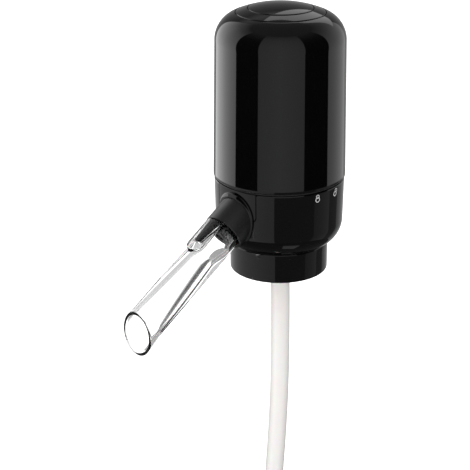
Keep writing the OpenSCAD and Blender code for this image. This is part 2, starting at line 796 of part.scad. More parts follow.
module hub_nozzle() {
  groove = o_ring_t / 2 + fit_gap;
  groove_r = nozzle_r - o_ring_t / 2;
  color("#181818") spout_frame() revolve([
    [nozzle_bore, nozzle_out], [nozzle_r - 0.5, nozzle_out], [nozzle_r, nozzle_out - 0.5],
    [nozzle_r, o_ring_at + groove], [groove_r - fit_gap, o_ring_at + groove],
    [groove_r - fit_gap, o_ring_at - groove], [nozzle_r, o_ring_at - groove],
    [nozzle_r, -hub_l], [nozzle_r + 2, -hub_l], [nozzle_r + 2, -hub_l - flange_t],
    [nipple_r, -hub_l - flange_t], [nipple_r, -hub_l - flange_t - nipple_l],
    [nipple_r / 2, -hub_l - flange_t - nipple_l], [nipple_r / 2, -hub_bore], [nozzle_bore, -hub_bore + over]
  ]);
}

module nozzle_o_ring() {
  color("#0c0c0c") spout_frame() translate([0, 0, o_ring_at]) rotate_extrude($fn = 96)
    translate([nozzle_r, 0]) circle(r = o_ring_t / 2 - 0.03);
}

module clear_spout() {
  flare = (mouth_d - neck_d) / 2 / (mouth_t - neck_t);
  end_bore = neck_d / 2 + flare * (spout_end - neck_t);
  end_r = end_bore + mouth_wall;
  flare_t = neck_t + (spout_r - mouth_wall - neck_d / 2) / flare;
  color([0.92, 0.95, 0.97, 0.35]) difference() {
    spout_frame() difference() {
      union() {
        revolve([[0, -root_l], [spout_r, -root_l], [spout_r, flare_t], [end_r, spout_end], [0, spout_end]]);
        intersection() {
          translate([0, 0, run_gap]) cylinder(r = ridge_r, h = ridge_l - run_gap);
          rotate([-90, 0, 0]) union() {
            translate([-ridge_half, -(ridge_l - ridge_half), 0])
              cube([2 * ridge_half, ridge_l - ridge_half - run_gap, ridge_r]);
            translate([0, -(ridge_l - ridge_half), 0]) cylinder(r = ridge_half, h = ridge_r);
          }
        }
      }
      revolve([
        [0, -root_l - over], [socket_r, -root_l - over], [socket_r, socket_end], [throat_d / 2, throat_t],
        [throat_d / 2, neck_t - 3], [neck_d / 2, neck_t], [end_bore + flare * over, spout_end + over],
        [0, spout_end + over]
      ]);
      tongue_shape(run_gap, pocket_r);
    }
    translate([-body_r, -spout_reach - body_d, -body_d]) cube([body_d, body_d, 2 * body_d]);
  }
}

// Middle line of the elbow, longer by g at both ends
function elbow_line(g) = concat(
  [[0, 0, floor_z + barb_flange_t + fit_gap - g]],
  [for (i = [0 : 10]) let (a = elbow_turn * i / 10)
    [0, elbow_bend * (cos(a) - 1), elbow_z + elbow_bend * sin(a)]],
  [[0, -elbow_y, elbow_meet_z] + (elbow_run - fit_gap + g) * [0, -cos(spout_slope), -sin(spout_slope)]]
);

module wine_elbow() {
  color([0.9, 0.9, 0.88, 0.6]) difference() {
    swept(elbow_line(0), elbow_r, 16, [1, 0, 0]);
    swept(elbow_line(over), nipple_r + fit_gap, 16, [1, 0, 0]);
  }
}

module bottle_collar() {
  lead_in = 1.2;
  edge_r = collar_r - collar_round;
  color("#131313") difference() {
    spin() {
      polygon([[bottle_r + lead_in, 0], [edge_r, 0], [edge_r, collar_round], [collar_r, collar_round],
        [collar_r, seat_z - 0.5], [collar_r - 0.5, seat_z], [bottle_r, seat_z], [bottle_r, lead_in]]);
      translate([edge_r, collar_round]) circle(r = collar_round);
    }
    at(collar_places, seat_z - collar_screw_l) cylinder(r = screw_r + fit_gap, h = collar_screw_l + over);
  }
}

module bottle_seal() {
  color("#4a4a4a") translate([0, 0, seat_z - seal_t]) tube(bottle_r - fit_gap, seal_d / 2, seal_t);
}

module collar_screws() {
  color("silver") at(collar_places, floor_z) screw(floor_t + collar_screw_l - 1);
}

module hose_barb() {
  top = floor_z + barb_flange_t;
  teeth = 3;
  pitch = (hose_top_z - barb_tip_z) / teeth;
  core = barb_r - 0.5;
  color("#e8e8e4") revolve(concat(
    [[core - 1.2, barb_tip_z]],
    [for (i = [0 : teeth - 1], p = [[core, 0], [barb_r, 0.8], [core, 0.8]])
      [p[0], barb_tip_z + (i + p[1]) * pitch]],
    [[core, seat_z], [barb_stem_r, seat_z], [barb_stem_r, floor_z], [barb_flange_r, floor_z],
      [barb_flange_r, top], [nipple_r, top], [nipple_r, top + nipple_l], [nipple_r - 0.8, top + nipple_l],
      [nipple_r - 0.8, floor_z], [core - 1.2, seat_z]]
  ));
}

module air_port() {
  color("#c8c8c4") translate([0, port_y, 0]) revolve([
    [outlet_r / 2, seat_z - 2.5], [port_stem_r, seat_z - 2.5], [port_stem_r, floor_z], [port_r, floor_z],
    [port_r, floor_z + port_h], [port_socket_r, floor_z + port_h], [port_socket_r, floor_z + 0.4],
    [outlet_r / 2, floor_z + 0.4]
  ]);
}

module dip_hose() { color([0.95, 0.95, 0.93, 0.8]) swept(hose_route, hose_r, 12, [0, 1, 0]); }

module pump_bracket() {
  color("#3c3c3c") difference() {
    intersection() {
      translate([0, 0, bracket_z]) cylinder(r = bracket_r, h = bracket_t);
      translate([-body_r, bracket_front, bracket_z]) cube([body_d, body_d, bracket_t]);
    }
    at(bracket_places, bracket_z - over) cylinder(r = screw_r + fit_gap, h = bracket_t + 2 * over);
    at(boss_places, bracket_z - over) cylinder(r = boss_r + run_gap, h = bracket_t + 2 * over);
    translate([0, 0, bracket_z - over]) cylinder(r = elbow_r + 0.6, h = bracket_t + 2 * over);
    translate([0, port_y, bracket_z - over]) cylinder(r = outlet_r + 0.5, h = bracket_t + 2 * over);
    at(pump_screw_places, bracket_z - over) cylinder(r = screw_r / 2 + fit_gap, h = bracket_t + 2 * over);
  }
}

module bracket_screws() {
  color("silver") at(bracket_places, head_z) screw(bracket_t + 1.8);
}

// Children on the pump's axis
module on_pump(z) { translate([0, pump_y, z]) children(); }

module pump_head() {
  color("#d0d0cc") difference() {
    union() {
      on_pump(head_z) cylinder(r = pump_r, h = head_h);
      translate([0, port_y, floor_z + 0.7]) cylinder(r = outlet_r, h = head_z - floor_z);
    }
    translate([0, port_y, floor_z]) cylinder(r = outlet_r / 2, h = head_z + head_h / 2 - floor_z);
    at(pump_screw_places, head_z - over) cylinder(r = screw_r / 2 + fit_gap, h = head_h - 1 + over);
  }
}

module pump_diaphragm() {
  color("#26262a") {
    on_pump(diaphragm_z) cylinder(r = pump_r, h = diaphragm_t);
    for (a = [90, 210, 330]) on_pump(diaphragm_z) rotate([0, 0, a]) translate([cup_ring, 0, 0])
      cylinder(r = 2.4, h = diaphragm_t + cup_h);
  }
}

module wobble_plate() {
  color("#e0e0dc") {
    on_pump(wobble_z) cylinder(r = cup_ring + 2.2, h = wobble_t);
    on_pump(wobble_z) cylinder(r = 0.8, h = wobble_t + 2.4);
  }
}

module pump_cover() {
  color("#d0d0cc") difference() {
    on_pump(cover_z) cylinder(r = pump_r, h = can_z - cover_z);
    on_pump(cover_z - over) cylinder(r = pump_r - 1.4, h = can_z - cover_top_t - cover_z + over);
    on_pump(cover_z) cylinder(r = shaft_r + 1.2, h = can_z - cover_z + over);
    at(motor_screw_places, cover_z) cylinder(r = screw_r / 2 + fit_gap, h = can_z - cover_z + over);
  }
}

module pump_screws() {
  color("silver") at(pump_screw_places, bracket_z) mirror([0, 0, 1])
    screw(bracket_t + head_h - 1.5, screw_r / 2, screw_r, screw_head_h);
}

module crank() {
  color("#f0f0ec") on_pump(crank_z) difference() {
    cylinder(r = 3, h = crank_h);
    translate([0, 0, -over]) cylinder(r = 1.5, h = over + 2);
    cylinder(r = shaft_r + fit_gap / 5, h = crank_h + over);
  }
}

module motor_shaft() {
  low = crank_z + 2.1;
  color("silver") on_pump(low) cylinder(r = shaft_r, h = cap_z + cap_t - low);
}

module armature() {
  color("#7a4a20") difference() {
    on_pump(can_z + 3) cylinder(r = rotor_r, h = motor_h - 5.5);
    on_pump(can_z) cylinder(r = shaft_r + fit_gap / 5, h = motor_h);
  }
}

module motor_can() {
  color("#a8a8a8") difference() {
    on_pump(can_z) cylinder(r = motor_r, h = motor_h);
    on_pump(can_z + can_wall) cylinder(r = motor_r - can_wall, h = motor_h);
    on_pump(can_z - over) cylinder(r = bush_r + fit_gap, h = motor_h);
    at(motor_screw_places, can_z - over) cylinder(r = screw_r / 2 + fit_gap, h = can_wall + 2 * over);
  }
}

module motor_magnets() {
  color("#3a3a40") on_pump(can_z + can_wall + 1.4) for (a = [-60, 120]) rotate([0, 0, a])
    rotate_extrude(angle = 120, $fn = 96)
      translate([rotor_r + 0.4, 0]) square([motor_r - can_wall - fit_gap - rotor_r - 0.4, motor_h - 4]);
}

module motor_bushes() {
  color("#b08040") for (z = [can_z, cap_z]) on_pump(z) tube(bush_r, shaft_r + 0.05, cap_t);
}

module motor_end_cap() {
  color("#f0f0ec") on_pump(cap_z) tube(motor_r, bush_r + fit_gap, cap_t);
}

module motor_screws() {
  color("silver") at(motor_screw_places, can_z - cover_top_t) mirror([0, 0, 1])
    screw(cover_top_t + 1.2, screw_r / 2, screw_r, screw_head_h / 2);
}

// A lead from the motor's end cap, through the bulkhead and up to the switch board
module lead(side) {
  z = cap_z + cap_t + lead_r + 0.1;
  swept([
    [side * lead_from, pump_y, z], [side * lead_bow, pump_y - lead_turn, z],
    [side * (lead_x - lead_turn), lead_y + lead_run, z],
    [side * (lead_x - 0.5), lead_y + 1.3, z + 0.15], [side * (lead_x - 0.1), lead_y + 0.3, z + 0.6],
    [side * lead_x, lead_y, z + lead_turn], [side * lead_x, lead_y, z + lead_rise],
    [side * lead_x, lead_y, board_z]
  ], lead_r, 8, [1, side * 0.4, 0]);
}

module red_lead() { color("#b02020") lead(1); }

module black_lead() { color("#151515") lead(-1); }

upper_casing();
button_ring();
power_button();
button_guide();
button_spring();
guide_screws();
switch_plunger();
tact_switch();
switch_board();
board_screws();
battery_holder();
batteries();
battery_springs();
battery_contacts();
holder_screws();
bulkhead();
bulkhead_screws();
lower_casing();
casing_gasket();
lock_marks();
spout_saddle();
spout_hub();
hub_nozzle();
nozzle_o_ring();
air_tongue();
clear_spout();
wine_elbow();
bottle_collar();
bottle_seal();
collar_screws();
hose_barb();
air_port();
dip_hose();
pump_bracket();
bracket_screws();
pump_head();
pump_diaphragm();
wobble_plate();
pump_cover();
pump_screws();
crank();
motor_shaft();
armature();
motor_can();
motor_magnets();
motor_bushes();
motor_end_cap();
motor_screws();
red_lead();
black_lead();
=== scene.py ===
# %% [markdown]
# # An electric wine aerator
#
# A battery pump sits on a bottle, presses air into it, and the wine climbs a dip hose and pours from
# a clear spout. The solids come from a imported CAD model, which is loaded first and stays fixed: every
# surface made here stands where its solid stands, in metres, with +Z up and the spout towards -Y.

# %% Load the frame
import json
import math

import bmesh
import bpy
import numpy as np
from mathutils import Matrix, Vector


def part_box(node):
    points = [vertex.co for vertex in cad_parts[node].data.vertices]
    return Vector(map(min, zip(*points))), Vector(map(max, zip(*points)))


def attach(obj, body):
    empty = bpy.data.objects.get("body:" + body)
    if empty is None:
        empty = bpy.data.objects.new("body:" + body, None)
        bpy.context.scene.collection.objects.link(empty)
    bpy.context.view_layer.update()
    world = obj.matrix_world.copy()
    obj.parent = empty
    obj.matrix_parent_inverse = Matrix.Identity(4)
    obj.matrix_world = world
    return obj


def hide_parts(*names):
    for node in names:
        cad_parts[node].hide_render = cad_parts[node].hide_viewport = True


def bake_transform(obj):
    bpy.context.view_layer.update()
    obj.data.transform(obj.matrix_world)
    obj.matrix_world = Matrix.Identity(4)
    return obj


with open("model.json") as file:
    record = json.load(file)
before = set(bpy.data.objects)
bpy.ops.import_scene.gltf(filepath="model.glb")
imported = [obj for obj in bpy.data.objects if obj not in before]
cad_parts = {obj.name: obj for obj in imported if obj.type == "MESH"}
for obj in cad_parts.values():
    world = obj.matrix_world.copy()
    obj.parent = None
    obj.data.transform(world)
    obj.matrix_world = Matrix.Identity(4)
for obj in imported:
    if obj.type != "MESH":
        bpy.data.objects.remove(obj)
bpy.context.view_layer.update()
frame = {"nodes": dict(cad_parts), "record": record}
MM = 0.001
scene = bpy.context.scene
scene.view_settings.view_transform = "Standard"


def level(node, top=True):
    """Height of a CAD node's top or bottom, in millimetres."""
    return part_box(node)[1 if top else 0].z / MM


SEAT_Z = level("bottle_collar")
GUIDE_Z = level("button_guide")
BODY_H = level("power_button")
print("levels in mm:", round(SEAT_Z, 2), round(GUIDE_Z, 2), round(BODY_H, 2))

# %% [markdown]
# ## The camera
#
# The camera was fitted to ellipses in the picture: the seam, the collar and the crown's rings. It
# stands 0.6 m away and looks down by about 22 degrees. A long lens keeps the body's sides nearly
# parallel. The spout points 43 degrees to the left of the line towards the camera.

# %% Camera
SPOUT_TURN = 43.0
CAMERA_REACH, CAMERA_Z = 600.0, 261.0
PITCH, YAW, ROLL = 22.34, -1.94, -0.26
turn = math.radians(SPOUT_TURN)
lens = bpy.data.cameras.new("camera")
lens.sensor_width = 36.0
lens.lens = 107.1
lens.clip_start = 0.01
camera = bpy.data.objects.new("camera", lens)
scene.collection.objects.link(camera)
camera.rotation_mode = "QUATERNION"
camera.location = (
    CAMERA_REACH * MM * math.sin(turn), -CAMERA_REACH * MM * math.cos(turn), CAMERA_Z * MM
)
camera.rotation_quaternion = (
    Matrix.Rotation(turn - math.radians(YAW), 4, "Z")
    @ Matrix.Rotation(math.radians(90 - PITCH), 4, "X")
    @ Matrix.Rotation(math.radians(ROLL), 4, "Z")
).to_quaternion()
scene.camera = camera
print("camera at", tuple(round(c, 4) for c in camera.location))

# %% [markdown]
# ## From arrays to meshes
#
# Every new piece is a grid of points worked out with numpy. It could be pulled into shape by hand in
# Edit Mode, but a formula keeps each size in one place. One helper joins the grid's points with
# four-sided faces, and one welds the seams and poles so that the surface is closed.


# %% Grid and mesh
def grid_faces(rows, cols, wrap_rows=False, wrap_cols=False):
    """Quads of a grid of points: each joins a point with its right, diagonal and lower neighbours."""
    i = np.arange(rows if wrap_rows else rows - 1)[:, None]
    j = np.arange(cols if wrap_cols else cols - 1)[None, :]
    down, right = (i + 1) % rows, (j + 1) % cols
    quads = [i * cols + j, i * cols + right, down * cols + right, down * cols + j]
    return np.stack([np.broadcast_to(q, (i.size, j.size)) for q in quads], -1).reshape(-1, 4)


def make_mesh(name, shells):
    """One mesh of several shells, each a grid of points in mm with its quads. Seams are merged."""
    starts = np.cumsum([0] + [len(p.reshape(-1, 3)) for p, _ in shells])[:-1]
    points = np.concatenate([p.reshape(-1, 3) for p, _ in shells]) * MM
    quads = np.concatenate([q + s for (_, q), s in zip(shells, starts)])
    mesh = bpy.data.meshes.new(name)
    mesh.from_pydata(points.tolist(), [], quads.tolist())
    work = bmesh.new()
    work.from_mesh(mesh)
    bmesh.ops.remove_doubles(work, verts=work.verts, dist=2e-7)
    bmesh.ops.dissolve_degenerate(work, edges=work.edges, dist=1e-8)
    bmesh.ops.recalc_face_normals(work, faces=work.faces)
    work.to_mesh(mesh)
    work.free()
    return mesh


# %% [markdown]
# ### From mesh to piece
#
# A mesh becomes a piece when it has a finish and rides on a body of the CAD model. Smooth shading with
# sharp edges by angle is enough here, because the moulded radii are real geometry. The object stays at
# the origin, unturned and unscaled, and its place is in its points.


# %% Piece
def finish_piece(mesh, name, body, material, nodes, sharp=35.0):
    """Makes a mesh a smooth piece that stands for CAD nodes and rides on a body, if one is named."""
    mesh.polygons.foreach_set("use_smooth", np.ones(len(mesh.polygons), bool))
    mesh.set_sharp_from_angle(angle=math.radians(sharp))
    mesh.materials.clear()
    mesh.materials.append(material)
    piece = bpy.data.objects.new(name, mesh)
    scene.collection.objects.link(piece)
    if body:
        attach(piece, body)
    if nodes:
        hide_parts(*nodes)
    print(name, "has", len(mesh.polygons), "faces")
    return piece


# %% [markdown]
# ## The dip hose
#
# A soft milky tube, 9 mm across, is pushed over a barb inside the collar and hangs into the bottle.
# A circle is carried along a smooth curve through the route of the CAD solid. The tube ends in a
# square cut that shows its bore, as the real one does.

# %% Hose path
HOSE_R, HOSE_BORE, HOSE_SIDES = 4.5, 3.2, 40
BARB_DEEP = 1.2
HOSE_ROUTE = np.array([
    [0, 0, SEAT_Z - BARB_DEEP], [0.3, 0.3, 0], [0.7, 0.6, -14],
    [0.8, 0.7, -32], [0.8, 0.7, -50], [0.6, 0.5, -68],
    [0.1, 0.1, -86], [-0.6, -0.5, -104], [-1.4, -1.3, -122], [-2.4, -2.3, -140], [-3.7, -3.4, -158],
    [-5.1, -4.8, -176], [-6.7, -6.3, -194], [-8.5, -8, -212], [-10.1, -9.5, -226],
])


def smooth_path(points, per_span):
    """Catmull-Rom curve: each span is a cubic through its ends, with the slope of its neighbours' chord."""
    p = np.concatenate([2 * points[:1] - points[1:2], points, 2 * points[-1:] - points[-2:-1]])
    a, b, c, d = p[:-3, None], p[1:-2, None], p[2:-1, None], p[3:, None]
    t = (np.arange(per_span) / per_span)[None, :, None]
    bend, twist = 2 * a - 5 * b + 4 * c - d, 3 * b - a - 3 * c + d
    curve = 0.5 * (2 * b + (c - a) * t + bend * t**2 + twist * t**3)
    return np.concatenate([curve.reshape(-1, 3), points[-1:]])


def tube_rings(centres, radii, directions, sides, beside=(0.0, 1.0, 0.0)):
    """Rings square to a path: centre plus radius times (cos a u + sin a v), u and v square to the path."""
    w = directions / np.linalg.norm(directions, axis=1)[:, None]
    u = np.cross(np.array(beside), w)
    u /= np.linalg.norm(u, axis=1)[:, None]
    v = np.cross(w, u)
    a = (np.arange(sides) * 2 * np.pi / sides)[None, :, None]
    return centres[:, None] + radii[:, None, None] * (np.cos(a) * u[:, None] + np.sin(a) * v[:, None])


SPAN_STEPS, BORE_ROWS = 5, 15
hose_path = smooth_path(HOSE_ROUTE, SPAN_STEPS)
hose_dirs = np.gradient(hose_path, axis=0)
CUT_ROUND, CUT_EDGE = 0.08, 0.3
end_r = np.array([HOSE_R - CUT_ROUND, HOSE_R - CUT_EDGE, HOSE_BORE + 0.25, HOSE_BORE])
last = len(hose_path) - 1
bore_rows = np.arange(last, last - BORE_ROWS, -1)
rows = np.concatenate([[0], np.arange(last + 1), np.full(len(end_r), last), bore_rows, bore_rows[-1:]])
radii = np.concatenate([
    [0.0], np.full(len(hose_path), HOSE_R), end_r, np.full(BORE_ROWS, HOSE_BORE), [0.0]
])
hose_points = tube_rings(hose_path[rows], radii, hose_dirs[rows], HOSE_SIDES)
hose_mesh = make_mesh("dip_hose_tube", [(hose_points, grid_faces(len(rows), HOSE_SIDES, wrap_cols=True))])

# %% [markdown]
# ## Finishes
#
# Moulded plastic is never one flat value. Handling leaves fine hairlines and a faint haze, which show
# in the gloss and not in the colour. Painted textures could show this, but they need unwrapped pieces.
# Two node groups work it out from Object coordinates instead, so the pattern stays on the piece, and
# each material places them with its own strengths.


# %% Group helpers
def new_group(name, inputs, outputs):
    """An empty shader group with named float or colour sockets and its two end nodes."""
    group = bpy.data.node_groups.new(name, "ShaderNodeTree")
    for label, kind, value in inputs:
        socket = group.interface.new_socket(label, in_out="INPUT", socket_type=kind)
        socket.default_value = value
    for label, kind in outputs:
        group.interface.new_socket(label, in_out="OUTPUT", socket_type=kind)
    return group, group.nodes.new("NodeGroupInput"), group.nodes.new("NodeGroupOutput")


def node(tree, kind, inputs=None, **settings):
    """A new node with its properties set, and constants on its named input sockets."""
    made = tree.nodes.new(kind)
    for key, value in settings.items():
        setattr(made, key, value)
    for socket, value in (inputs or {}).items():
        made.inputs[socket].default_value = value
    return made


# %% [markdown]
# ### Handling marks
#
# Wiping leaves a faint haze and fine lines on glossy plastic. The haze is broad noise. The lines are
# noise stretched along one slanting direction, of which only the peaks are kept. Both are added to the
# roughness, because on black plastic they show as duller streaks in a mirrored light.


# %% Handling group
def handling_group():
    """Haze and hairlines: broad noise and the peaks of stretched fine noise, added to a roughness."""
    F = "NodeSocketFloat"
    group, inp, out = new_group(
        "handling",
        [("Smooth", F, 0.08), ("Haze", F, 0.05), ("Hairlines", F, 0.05)],
        [("Roughness", F)],
    )
    link = group.links.new
    where = node(group, "ShaderNodeTexCoord")
    broad = node(group, "ShaderNodeTexNoise", {"Scale": 45.0, "Detail": 5.0})
    stretch = {"Rotation": (0.3, 0.5, 0.9), "Scale": (300.0, 300.0, 9000.0)}
    turned = node(group, "ShaderNodeMapping", stretch)
    lines = node(group, "ShaderNodeTexNoise", {"Scale": 1.0, "Detail": 3.0})
    peaks = node(group, "ShaderNodeMapRange", {"From Min": 0.6, "From Max": 0.8})
    haze = node(group, "ShaderNodeMath", operation="MULTIPLY")
    scratch = node(group, "ShaderNodeMath", operation="MULTIPLY")
    both = node(group, "ShaderNodeMath", operation="ADD")
    total = node(group, "ShaderNodeMath", operation="ADD")
    link(where.outputs["Object"], broad.inputs["Vector"])
    link(where.outputs["Object"], turned.inputs["Vector"])
    link(turned.outputs["Vector"], lines.inputs["Vector"])
    link(lines.outputs["Fac"], peaks.inputs["Value"])
    link(broad.outputs["Fac"], haze.inputs[0])
    link(inp.outputs["Haze"], haze.inputs[1])
    link(peaks.outputs["Result"], scratch.inputs[0])
    link(inp.outputs["Hairlines"], scratch.inputs[1])
    link(haze.outputs[0], both.inputs[0])
    link(scratch.outputs[0], both.inputs[1])
    link(both.outputs[0], total.inputs[0])
    link(inp.outputs["Smooth"], total.inputs[1])
    link(total.outputs[0], out.inputs["Roughness"])
    return group


# %% [markdown]
# ### Mould grain
#
# A mould's wall is etched or blasted, and the plastic copies it as a fine grain. The grain could be
# modelled, but it is finer than any mesh here, so it is a height for a Bump node. A slow drift between
# two near colours keeps the plastic from being one flat value.


# %% Grain group
def grain_group():
    """Mould grain: fine noise as a height, and a slow drift between two colours."""
    F, C = "NodeSocketFloat", "NodeSocketColor"
    group, inp, out = new_group(
        "mould_grain",
        [("Colour A", C, (0, 0, 0, 1)), ("Colour B", C, (0, 0, 0, 1)), ("Grain size", F, 2500.0)],
        [("Colour", C), ("Height", F)],
    )
    link = group.links.new
    where = node(group, "ShaderNodeTexCoord")
    fine = node(group, "ShaderNodeTexNoise", {"Detail": 2.0})
    slow = node(group, "ShaderNodeTexNoise", {"Scale": 60.0, "Detail": 3.0})
    mix = node(group, "ShaderNodeMix", data_type="RGBA")
    link(where.outputs["Object"], fine.inputs["Vector"])
    link(where.outputs["Object"], slow.inputs["Vector"])
    link(inp.outputs["Grain size"], fine.inputs["Scale"])
    link(slow.outputs["Fac"], mix.inputs["Factor"])
    link(inp.outputs["Colour A"], mix.inputs[6])
    link(inp.outputs["Colour B"], mix.inputs[7])
    link(mix.outputs[2], out.inputs["Colour"])
    link(fine.outputs["Fac"], out.inputs["Height"])
    return group


# %% [markdown]
# ### One recipe for all finishes
#
# All the plastics and metals differ only in their colours, gloss and grain. So one function places the
# two groups in front of a Principled shader, and what doesn't vary is set on the shader's own sockets.

# %% Finish
HANDLING, GRAIN = handling_group(), grain_group()
GRAIN_DEEP = 0.03 * MM


def finish(name, dark, pale, smooth, haze, hairlines=0.0, grain=0.0, grain_size=2500.0, **fixed):
    """A Principled material: colour and grain from one group, gloss and hairlines from the other."""
    material = bpy.data.materials.new(name)
    material.use_nodes = True
    tree = material.node_tree
    link = tree.links.new
    shader = tree.nodes["Principled BSDF"]
    moulded = node(tree, "ShaderNodeGroup", node_tree=GRAIN)
    worn = node(tree, "ShaderNodeGroup", node_tree=HANDLING)
    placed = {"Colour A": (*dark, 1), "Colour B": (*pale, 1), "Grain size": grain_size}
    for socket, value in placed.items():
        moulded.inputs[socket].default_value = value
    for socket, value in {"Smooth": smooth, "Haze": haze, "Hairlines": hairlines}.items():
        worn.inputs[socket].default_value = value
    link(moulded.outputs["Colour"], shader.inputs["Base Color"])
    link(worn.outputs["Roughness"], shader.inputs["Roughness"])
    if grain > 0:
        bump = node(tree, "ShaderNodeBump", {"Strength": grain, "Distance": GRAIN_DEEP})
        link(moulded.outputs["Height"], bump.inputs["Height"])
        link(bump.outputs["Normal"], shader.inputs["Normal"])
    for socket, value in fixed.items():
        shader.inputs[socket.replace("_", " ")].default_value = value
    return material


# %% [markdown]
# ### Black plastics, rubber and print
#
# Casing, ring, button and collar are polished, so they are nearly black with a tight mirror. The hub is
# satin, the tongue has a coarse grain and hardly mirrors, and the seal is dull rubber. The printed
# marks are a pale grey ink. Polish could also be a coat over a dull base, but one layer does the same.

# %% Black finishes
GLOSS_BLACK = finish(
    "gloss_black", (0.0012, 0.0012, 0.0013), (0.002, 0.002, 0.002), 0.03, 0.03, hairlines=0.03, IOR=1.5
)
SATIN_BLACK = finish("satin_black", (0.010, 0.010, 0.0105), (0.014, 0.014, 0.014), 0.28, 0.12, grain=0.12)
GRAINED = finish(
    "grained_black", (0.002, 0.002, 0.002), (0.006, 0.006, 0.006), 0.5, 0.2, grain=0.6, grain_size=1800.0,
    Specular_IOR_Level=0.05,
)
RUBBER = finish("black_rubber", (0.018, 0.018, 0.018), (0.03, 0.03, 0.03), 0.55, 0.2, grain=0.3)
MARK = finish("printed_mark", (0.72, 0.72, 0.72), (0.82, 0.82, 0.82), 0.4, 0.1)
print("black plastics, rubber and print are ready")

# %% [markdown]
# ### Clear acrylic
#
# The spout is clear moulded acrylic. A Glass shader could stand for it, but full transmission in the
# same Principled shader keeps the faint haze. Its mirror is set low: the bright cloths of the studio
# would lay a grey veil over the black tongue under it.

# %% Clear finish
CLEAR = finish(
    "clear_acrylic", (0.985, 0.99, 0.99), (1, 1, 1), 0.0, 0.008, IOR=1.49, Transmission_Weight=1.0,
    Specular_Tint=(0.25, 0.25, 0.25, 1),
)
acrylic = CLEAR.node_tree.nodes["Principled BSDF"].inputs
print("clear acrylic bends light with", round(acrylic["IOR"].default_value, 2))

# %% [markdown]
# ### Milky silicone
#
# The hose is soft and milky, so light spreads inside its wall: a share of subsurface scattering. A
# hollow tube looks darker at its edges, where the eye looks through more of the wall. Tracing the light
# through the wall would show that slowly, so a Layer Weight node paints this shade into the colour there.

# %% Hose finish
SILICONE = finish(
    "milky_silicone", (0.91, 0.90, 0.87), (0.95, 0.94, 0.92), 0.3, 0.15, grain=0.1,
    Subsurface_Weight=0.35, Subsurface_Scale=0.004,
)
shaded = SILICONE.node_tree
colour = shaded.nodes["Principled BSDF"].inputs["Base Color"]
edge = node(shaded, "ShaderNodeLayerWeight")
EDGE_SHADE = {"From Min": 0.22, "From Max": 0.62, "To Min": 1.0, "To Max": 0.76}
edge_shade_share = node(shaded, "ShaderNodeMapRange", EDGE_SHADE)
# Painted shade: the colour is multiplied darker where the tube is seen at a slant, towards its edges.
painted_edge_shade = node(shaded, "ShaderNodeMix", {"Factor": 1.0}, data_type="RGBA", blend_type="MULTIPLY")
shaded.links.new(edge.outputs["Facing"], edge_shade_share.inputs["Value"])
shaded.links.new(colour.links[0].from_socket, painted_edge_shade.inputs[6])
shaded.links.new(edge_shade_share.outputs["Result"], painted_edge_shade.inputs[7])
shaded.links.new(painted_edge_shade.outputs[2], colour)
print("the hose darkens to", EDGE_SHADE["To Max"], "at its edges")

# %% [markdown]
# ### Finishes of the inner parts
#
# Motor, pump, switch and cells are hidden in use, but show when the casing is taken off. Their solids
# come straight from the CAD model and need no new surface, so each only gets the finish of its
# material: plated steel, bronze, magnet, sleeved cells, a coated board and moulded plastics.

# %% Inner finishes
INNER = {
    "pale_plastic": finish("pale_plastic", (0.62, 0.61, 0.57), (0.72, 0.71, 0.67), 0.35, 0.15, grain=0.15),
    "steel": finish("plated_steel", (0.5, 0.5, 0.5), (0.62, 0.62, 0.62), 0.2, 0.2, 0.1, Metallic=1.0),
    "magnet": finish("sintered_magnet", (0.05, 0.05, 0.055), (0.09, 0.09, 0.1), 0.5, 0.2, grain=0.4),
    "bronze": finish("sintered_bronze", (0.4, 0.24, 0.1), (0.52, 0.34, 0.16), 0.3, 0.2, Metallic=1.0),
    "cell": finish("cell_sleeve", (0.40, 0.30, 0.10), (0.48, 0.37, 0.15), 0.25, 0.1, 0.05),
    "board_green": finish("coated_board", (0.02, 0.14, 0.04), (0.03, 0.2, 0.06), 0.3, 0.1),
    "red_plastic": finish("red_plastic", (0.35, 0.02, 0.015), (0.45, 0.03, 0.02), 0.3, 0.1, grain=0.1),
    "gloss_black": GLOSS_BLACK,
    "satin_black": SATIN_BLACK,
    "soft_tube": SILICONE,
    "black_rubber": RUBBER,
    "clear_plastic": CLEAR,
    "mark_grey": MARK,
}
slot_of = {s["node"]: s["material_slot"] for s in frame["record"]["subparts"]}
for name, solid in frame["nodes"].items():
    solid.data.materials.clear()
    solid.data.materials.append(INNER[slot_of[name]])
print(len(INNER), "finishes on", len(slot_of), "nodes")

# %% [markdown]
# ## The hose piece
#
# The hose is soft, but here it rides on the pump body as one piece.

# %% Hose piece
hose = finish_piece(hose_mesh, "dip_hose_tube", "pump_body", SILICONE, ["dip_hose"])

# %% [markdown]
# ## Turned sections
#
# Most pieces of the body are round about its axis. The Screw modifier could turn a drawn outline. Here
# the outline is an array of radii and heights, so that arcs and tangents come from formulas, and one
# line of trigonometry turns all of its points at once.


# %% Turning helpers
def lathe(section, turns):
    """A section of (radius, height) points turned by each angle a: x = r cos a, y = r sin a, z = h."""
    r, h = section[:, 0][:, None], section[:, 1][:, None]
    a = turns[None, :]
    return np.stack(np.broadcast_arrays(r * np.cos(a), r * np.sin(a), h), -1)


def lathe_shell(section, steps=192):
    """Grid and quads of a closed section turned all the way round."""
    turns = np.arange(steps) * 2 * np.pi / steps
    return lathe(section, turns), grid_faces(len(section), steps, wrap_rows=True, wrap_cols=True)


def arc(centre, radius, start, end, steps):
    """Points of a circle's arc: centre plus radius times (cos a, sin a), angles in degrees."""
    a = np.radians(np.linspace(start, end, steps))
    return np.stack([centre[0] + radius * np.cos(a), centre[1] + radius * np.sin(a)], -1)


# %% [markdown]
# ## The upper casing
#
# A glossy cup covers the batteries. Its side leans in by less than a degree, a round shoulder leads to
# a shallow crown, and a hole in the crown holds the ring and the button. All three share one crown
# circle, so the grooves between them read as fine dark lines.

